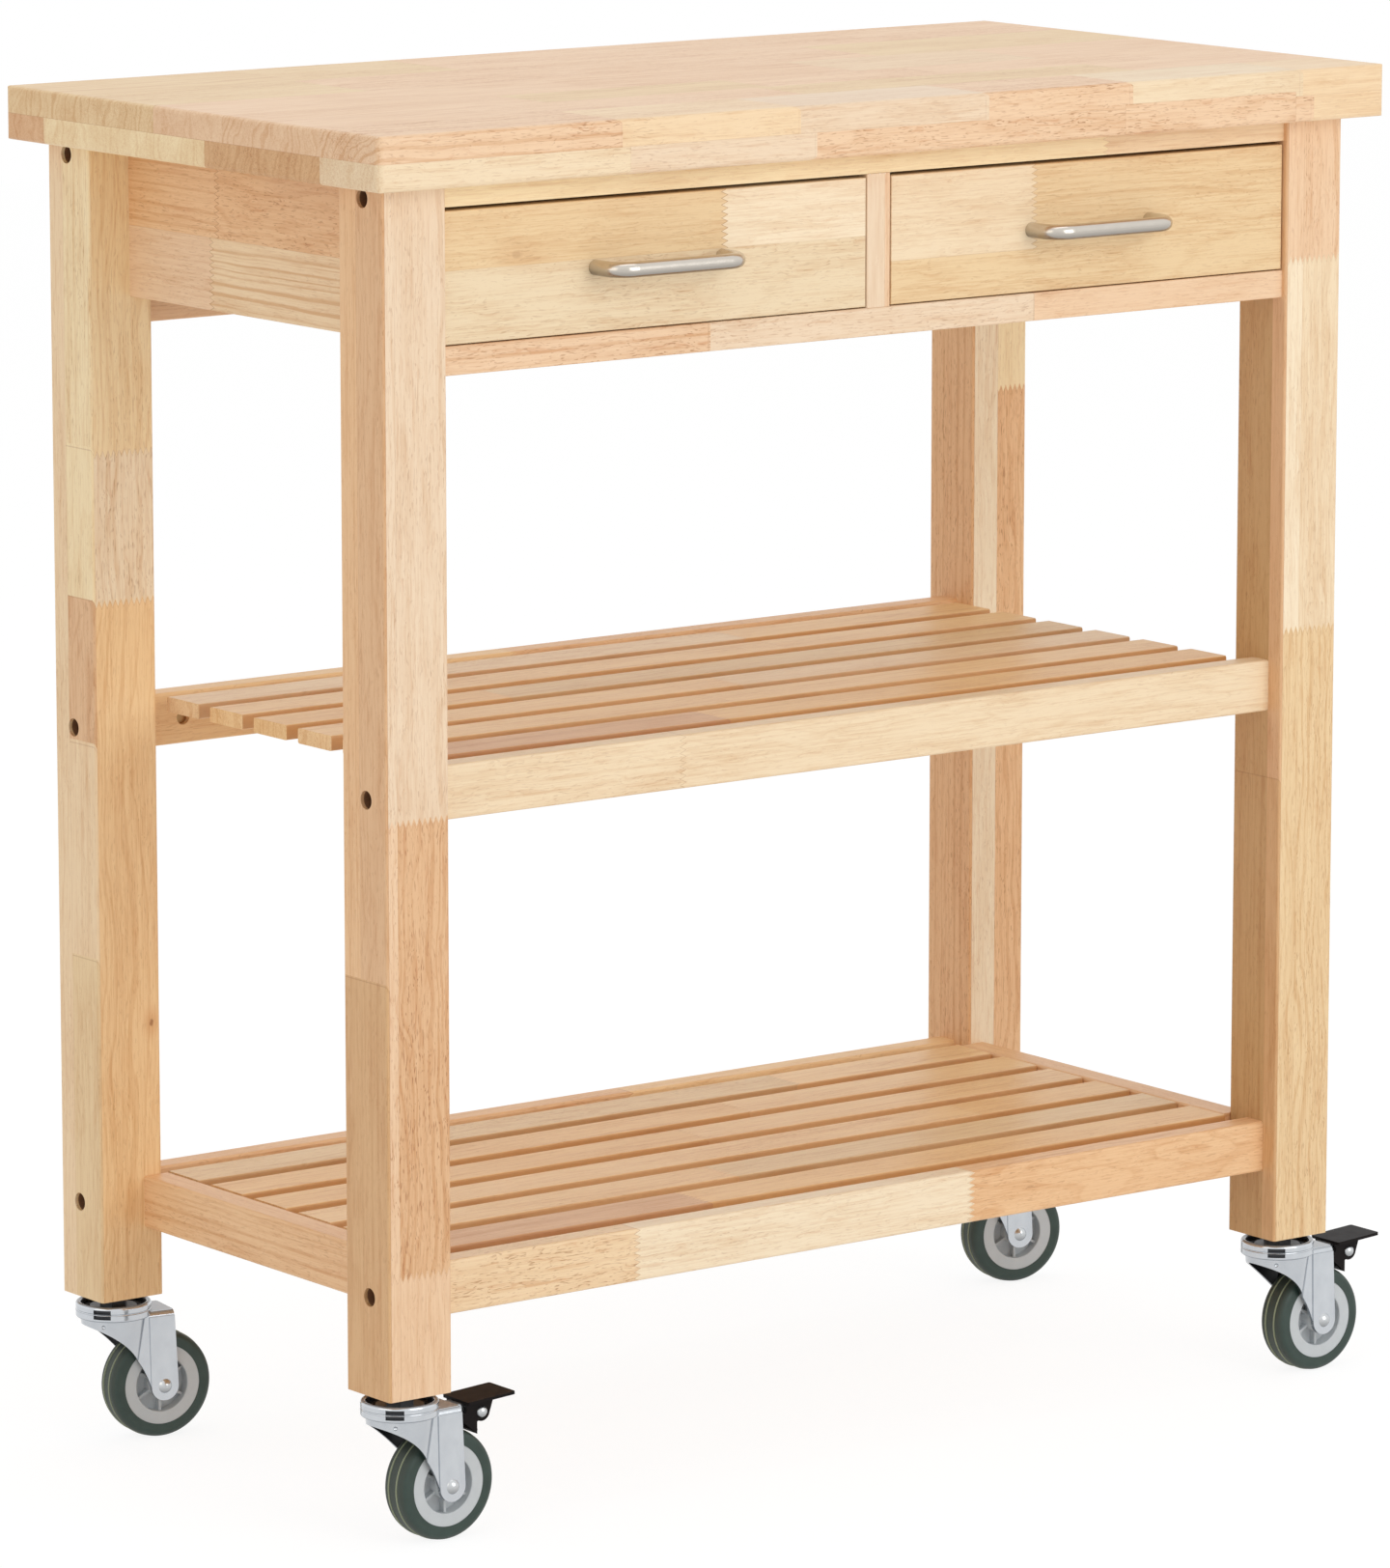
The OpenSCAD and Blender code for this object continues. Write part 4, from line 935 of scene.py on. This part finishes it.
@dataclass
class Legs:
    """The four legs, each glued up from a few rows of staves along Z.

    Attributes:
        size: The leg's width.
        bolts: Heights of the bolt holes above the foot.
        bolt_line: Distance of the bolt holes from the leg's outer face, in depth.
        skin: The span in width of the staves that show on the left face alone.
        core: The span in width of the staves behind them.
    """

    size: float = 48.0
    bolts: tuple[float, ...] = (760.5, 383.5, 64.5)
    bolt_line: float = 22.0
    skin: Span = (-5.0, 1.5)
    core: Span = (1.5, 55.0)

    def holes(self, side: int, back: bool) -> tuple[Hole, ...]:
        """Gives a leg's bolt holes: side 0 is the left and 1 the right."""
        y = self.size - self.bolt_line if back else self.bolt_line
        return tuple(Hole(y, z, side) for z in self.bolts)

    def build(self) -> None:
        """Dresses the legs."""
        front_left = (
            lay((265, RUSSET, 0.4, 0.3), (600, TAN, 0.5, 0.3)),
            lay((265, RUSSET, 0.3, 0.3), (600, AMBER, 0.4, 0.4), y=(29, 55)),
            lay((78.6, ROSE, 0.3), (288.8, TAN, 1.0, 0.6), (410, SAND, 0.45, 0.3),
                x=self.core, y=(-5, 17.2)),
            lay((78.6, ROSE, 0.3), (288.8, ROSE, 0.8), (410, SAND, 0.6, 0.3),
                x=(1.5, 8.4), y=(-5, 17.2)))
        back_left = (
            lay((228, GOLD, 0.35, 0.4), (340, GOLD, 0.5, 0.4), (210, BUTTER, 0.5, 0.4)),
            lay((228, HONEY, 0.3, 0.2), (143, STRAW, 0.3, 0.2), (97, TAN, 0.6, 0.5),
                (99, BUTTER, 0.4, 0.3), (210, BUTTER, 0.5, 0.3), x=self.skin, y=(-5, 31)),
            lay((800, STRAW, 0.4, 0.3), x=self.skin, y=(31, 55)),
            lay((467, GOLD, 0.35, 0.4), (99, IVORY, 0.7, 0.4), (210, BUTTER, 0.5, 0.4),
                x=self.core, y=(-5, 12)))
        front_right = (
            lay((318, OCHRE, 0.5, 0.4), (460, OCHRE, 0.5, 0.2)),
            lay((318, RUSSET, 0.3, 0.2), (460, TAN, 0.3, 0.1), y=(-5, 13)),
            lay((420.3, HONEY, 0.6, 0.5), (252, CREAM, 0.35, 0.3), (110, ROSE, 0.6, 0.4),
                x=self.core, y=(-5, 22)),
            lay((420.3, HONEY, 0.5, 0.3), (252, IVORY, 0.35), (110, ROSE, 0.4, 0.2),
                x=(1.5, 15), y=(-5, 22)))
        back_right = (
            lay((800, AMBER, 0.8, 0.5)),
            lay((548.5, AMBER, 0.7, 0.5), (230, BUTTER, 0.3), x=self.core, y=(-5, 21.5)),
            lay((800, IVORY, 0.4, 0.15), x=(1.5, 22.3), y=(-5, 21.5)))
        knots = (Knot((41, 0, 185), 2.0),)
        for name, rows, marks, holes in (
                ("leg_front_left", front_left, (), self.holes(0, False)),
                ("leg_back_left", back_left, knots, self.holes(0, True)),
                ("leg_front_right", front_right, (), self.holes(1, False)),
                ("leg_back_right", back_right, (), self.holes(1, True))):
            WoodFinish(Axis.Z, Axis.X, rows, marks, holes).dress(name)


@dataclass
class DrawerSurround:
    """The aprons and rails that frame the drawers.

    Attributes:
        width: The width between the legs.
        side_seams: The seams of a side apron, in height.
        back_seams: The seams of the back apron, in height.
        divider_skin: The span in width of the stave on the divider's right side.
    """

    width: float = 688.0
    side_seams: tuple[float, ...] = (-5, 47, 110)
    back_seams: tuple[float, ...] = (-5, 42, 84, 130)
    divider_skin: Span = (14.5, 25.0)

    def build(self) -> None:
        """Dresses the aprons, the rails, the divider and what they hide."""
        lower, upper = zip(self.side_seams, self.side_seams[1:])
        side = (lay((188, STRAW, 0.3, 1.0), (200, ROSE, 0.4), z=lower),
                lay((181.6, AMBER, 0.7, 0.4), (200, AMBER, 0.5, 0.5), z=upper))
        for name in ("side_apron_left", "side_apron_right"):
            WoodFinish(Axis.Y, Axis.Z, side, joints=2.4).dress(name)
        spans = list(zip(self.back_seams, self.back_seams[1:]))
        back = plain_rows("back apron", self.width, spans, Axis.Z, (CREAM, HONEY, ROSE, AMBER))
        WoodFinish(Axis.X, Axis.Z, back).dress("back_apron")
        top = (lay((534, BUTTER, 0.2, 0.15), (200, STRAW, 0.2, 0.2)),)
        WoodFinish(Axis.X, Axis.Z, top).dress("drawer_top_rail")
        bottom = (lay((204, ROSE, 0.9, 0.5), (267, SAND, 0.6), (220, ROSE, 0.4, 0.1)),)
        WoodFinish(Axis.X, Axis.Y, bottom).dress("drawer_bottom_rail")
        upright = (lay((100, SAND, 0.15, 0.25)), lay((100, ROSE, 0.3, 0.2), x=self.divider_skin))
        WoodFinish(Axis.Z, Axis.X, upright).dress("drawer_divider")
        inner = (lay((190, HONEY, 0.4), (400, AMBER, 0.5, 0.3)),)
        for name in ("drawer_partition", "drawer_runners"):
            WoodFinish(Axis.Y, Axis.Z, inner, roughness=0.6).dress(name)


@dataclass
class Shelves:
    """The two slatted shelves.

    Attributes:
        slat_pitch: Distance from one slat to the next.
        slat_width: Width of a slat.
        slat_margin: How far a slat's row of staves reaches past its sides.
    """

    slat_pitch: float = 50.857
    slat_width: float = 38.0
    slat_margin: float = 3.0

    def slats(self, *slats: tuple[float, Tone, Tone]) -> tuple[Row, ...]:
        """Gives each slat its two staves.

        Args:
            slats: Each slat's joint, measured from its left end, and the tones before and after
                it, from the front slat on.

        Returns:
            The rows.
        """
        rows = []
        for index, (cut, first, second) in enumerate(slats):
            start = index * self.slat_pitch
            span = (start - self.slat_margin, start + self.slat_width + self.slat_margin)
            rows.append(lay((cut, first, 0.3 + 0.1 * (index % 3), 0.3),
                            (700, second, 0.35, 0.25 + 0.1 * (index % 2)), y=span))
        return tuple(rows)

    def build(self) -> None:
        """Dresses the rails, the slats and the battens."""
        rails = {
            "upper_shelf_front_rail": lay((193, CREAM, 0.4, 0.2), (520, CREAM, 0.25, 0.2)),
            "upper_shelf_back_rail": lay((300, GOLD, 0.4), (420, AMBER, 0.5)),
            "lower_shelf_front_rail": lay((156, STRAW, 1.0, 0.2), (276, IVORY, 0.4),
                                          (300, AMBER, 0.5, 0.5)),
            "lower_shelf_back_rail": lay((400, AMBER, 0.5, 0.4), (320, GOLD)),
        }
        for name, row in rails.items():
            WoodFinish(Axis.X, Axis.Z, (row,), joints=1.4).dress(name)
        end = (lay((400, AMBER, 0.5, 0.5)),)
        for name in ("lower_shelf_left_rail", "lower_shelf_right_rail"):
            WoodFinish(Axis.Y, Axis.Z, end).dress(name)
        upper = self.slats((240, TAN, FAWN), (285, GOLD, GOLD), (330, GOLD, STRAW),
                           (180, FAWN, HONEY), (450, GOLD, GOLD), (450, STRAW, FAWN))
        lower = self.slats((230, TAN, FAWN), (290, GOLD, HONEY), (540, GOLD, FAWN),
                           (345, FAWN, GOLD), (420, FAWN, GOLD), (500, HONEY, GOLD))
        for name, rows in (("upper_shelf_slats", upper), ("lower_shelf_slats", lower)):
            # painted shade darkens the slats' front and back faces
            WoodFinish(Axis.X, Axis.Y, rows, sides=0.8).dress(name)
        batten = (lay((400, AMBER, 0.5, 0.3)),)
        WoodFinish(Axis.Y, Axis.Z, batten, roughness=0.6).dress("shelf_battens")


@dataclass
class Drawers:
    """The two drawers.

    Attributes:
        left_seams: The seams of the left front, in height.
        right_seams: The seams of the right front, in height.
    """

    left_seams: tuple[float, ...] = (-5, 46, 90)
    right_seams: tuple[float, ...] = (-5, 28, 90)

    def build(self) -> None:
        """Dresses the fronts, the boxes, the handles and their screws."""
        lower, upper = zip(self.left_seams, self.left_seams[1:])
        left = (lay((218.5, HONEY, 0.3, 0.15), (200, IVORY, 0.25, 0.1), z=upper),
                lay((400, WHEAT, 0.45, 0.12), z=lower))
        lower, upper = zip(self.right_seams, self.right_seams[1:])
        right = (lay((119, CREAM, 0.25, 0.1), (300, HONEY, 0.35, 0.3), z=upper),
                 lay((400, HONEY, 0.35, 0.2), z=lower))
        swirl = (Knot((56, 0, 53), 3.4, 0.3),)
        WoodFinish(Axis.X, Axis.Z, left, swirl, joints=2.4).dress("drawer_left_front")
        WoodFinish(Axis.X, Axis.Z, right, joints=1.6).dress("drawer_right_front")
        box = (lay((180, CREAM, 0.2, 0.2), (300, SAND, 0.25, 0.2)),)
        ply = (lay((500, IVORY, 0.08, 0.7)),)
        parts = {
            "sides": WoodFinish(Axis.Y, Axis.Z, box, roughness=0.5),
            "back": WoodFinish(Axis.X, Axis.Z, box, roughness=0.5),
            "bottom": WoodFinish(Axis.X, Axis.Z, ply, roughness=0.6),
            "handle": MetalFinish(linear(209, 202, 192), 0.22, brushed=True),
            "handle_screws": ZINC,
        }
        for side in ("left", "right"):
            for name, finish in parts.items():
                finish.dress(f"drawer_{side}_{name}")


@dataclass
class Casters:
    """The four swivel casters and the two brakes.

    Attributes:
        leg_x: The swivel axes in width, left and right.
        leg_y: The swivel axes in depth, front and back.
        turns: The turn of each caster in degrees.
    """

    leg_x: Span = (-387.2155, 348.7845)
    leg_y: Span = (-164.25, 167.75)
    turns: dict[str, float] = field(default_factory=lambda: {
        "front_left": 0.0, "front_right": 0.0, "back_left": -9.0, "back_right": -12.0})

    def frame_of(self, name: str) -> CasterFrame:
        """Finds where a caster stands."""
        axis = self.leg_x[name.endswith("right")], self.leg_y[name.startswith("back")]
        return CasterFrame(*axis, math.radians(self.turns[name]))

    def build(self) -> None:
        """Dresses the casters."""
        rim = PlasticFinish(linear(203, 208, 211))
        enamel = MetalFinish(linear(24, 19, 19), 0.5, metallic=0.0, mottle=0.3, gloss=0.12)
        for name in self.turns:
            caster = self.frame_of(name)
            ForkFinish(caster).dress("fork_" + name)
            ZINC.dress("axle_" + name)
            rim.dress("wheel_" + name)
            TyreFinish(caster).dress("tyre_" + name)
        for side in ("left", "right"):
            ZINC.dress("brake_pin_" + side)
            enamel.dress("brake_pedal_" + side)
        # painted shade: the stems in the recess under the legs are a darker grey than the zinc
        MetalFinish(linear(122, 124, 128), 0.4).dress("caster_stems")


@dataclass
class Hardware:
    """Bolts, nuts, dowels, screws and brackets."""

    def build(self) -> None:
        """Dresses the hardware."""
        MetalFinish(linear(62, 56, 50), 0.45, mottle=0.2).dress("frame_bolts")
        MetalFinish(linear(196, 160, 112), 0.45).dress("barrel_nuts")
        ZINC.dress("wood_screws")
        ZINC.dress("worktop_brackets")
        beech = (lay((900, IVORY, 0.3)),)
        WoodFinish(Axis.X, Axis.Z, beech, roughness=0.7).dress("dowels")


@dataclass(frozen=True)
class Lamp:
    """A square soft lamp.

    Attributes:
        name: Its name.
        place: Its place in metres.
        aim: What it points at.
        size: Its side in metres.
        power: Its power in watts.
        colour: Its colour.
    """

    name: str
    place: Point
    aim: Point
    size: float
    power: float
    colour: Colour

    def build(self) -> None:
        """Adds the lamp."""
        data = bpy.data.lights.new(self.name, "AREA")
        data.size = self.size
        data.energy = self.power
        data.color = self.colour
        lamp = bpy.data.objects.new(self.name, data)
        lamp.location = self.place
        towards = Vector(self.aim) - Vector(self.place)
        lamp.rotation_euler = towards.to_track_quat("-Z", "Y").to_euler()
        bpy.context.scene.collection.objects.link(lamp)


@dataclass
class Studio:
    """The floor, the lights and the camera.

    Attributes:
        eye: The camera's place in millimetres.
        heading: The turn of its view from +Y towards +X, in degrees.
        tilt: The angle by which it looks down, in degrees.
        lens: Its focal length in millimetres.
        sensor: The size of its sensor along the picture's long side.
        reach: The distance in metres up to which it sees.
        floor_size: The floor's side in metres.
        floor_colour: The floor's colour where light falls on it.
        floor_glow: The brightness that it shows to the camera.
        floor_share: Its share beside the lit colour, which holds the shadow.
        world_light: The strength of the surroundings' light.
        lamps: The lamps.
    """

    eye: Point = (-3325.2, -4371.7, 1409.1)
    heading: float = 37.02
    tilt: float = 10.14
    lens: float = 191.0
    sensor: float = 36.0
    reach: float = 50.0
    floor_size: float = 14.0
    floor_colour: Colour = (0.96, 0.96, 0.96)
    floor_glow: float = 1.075
    floor_share: float = 0.82
    world_light: float = 0.66
    lamps: tuple[Lamp, ...] = (
        Lamp("key_lamp", (0.55, -3.2, 1.55), (0.0, 0.0, 0.5), 2.2, 31.0, (1.0, 0.99, 0.97)),
        Lamp("left_lamp", (-3.0, -0.6, 1.6), (0.0, 0.0, 0.5), 2.0, 8.0, (1.0, 0.91, 0.76)),
        Lamp("top_lamp", (0.0, 0.1, 3.2), (0.0, 0.0, 0.9), 2.0, 10.5, (1.0, 0.97, 0.94)))

    def build(self) -> None:
        """Sets up the studio."""
        self.add_camera()
        self.add_floor()
        self.light_world()
        for lamp in self.lamps:
            lamp.build()

    def add_camera(self) -> None:
        """Creates the camera at the photograph's viewing angle."""
        data = bpy.data.cameras.new("camera")
        data.lens = self.lens
        data.sensor_width = self.sensor
        data.clip_end = self.reach
        camera = bpy.data.objects.new("camera", data)
        camera.location = Vector(self.eye) * MM
        tilt = math.radians(90.0 - self.tilt)
        camera.rotation_euler = Euler((tilt, 0.0, -math.radians(self.heading)))
        bpy.context.scene.collection.objects.link(camera)
        bpy.context.scene.camera = camera

    def add_floor(self) -> None:
        """Creates the pale floor, white to the camera apart from the trolley's shadow."""
        bpy.ops.mesh.primitive_plane_add(size=self.floor_size, location=(0.0, 0.0, 0.0))
        floor = bpy.context.object
        floor.name = "floor"
        material = bpy.data.materials.new("floor_finish")
        tree = Tree(material)
        glow = tree.add("ShaderNodeEmission", {}, {"Color": WHITE, "Strength": self.floor_glow})
        lit = tree.add("ShaderNodeBsdfDiffuse", {}, {"Color": self.floor_colour})
        mixed = tree.add("ShaderNodeMixShader", {}, [tree.seen() * self.floor_share, lit, glow])
        tree.node("ShaderNodeOutputMaterial", {}, {"Surface": mixed})
        floor.data.materials.append(material)

    def light_world(self) -> None:
        """Makes the surroundings white to the eye and dimmer as a light."""
        world = bpy.data.worlds.new("studio")
        bpy.context.scene.world = world
        tree = Tree(world)
        strength = tree.seen() * (1.0 - self.world_light) + self.world_light
        sky = tree.add("ShaderNodeBackground", {}, {"Color": WHITE, "Strength": strength})
        tree.node("ShaderNodeOutputWorld", {}, {"Surface": sky})


def main() -> None:
    """Builds the studio and dresses every sub-assembly."""
    logging.basicConfig(level=logging.INFO, format="%(message)s")
    bpy.context.scene.view_settings.view_transform = "Standard"
    for part in (Studio(), Worktop(), Legs(), DrawerSurround(), Shelves(), Drawers(), Casters(),
                 Hardware()):
        part.build()
        log.info("built %s", type(part).__name__)


if __name__ == "__main__":
    main()
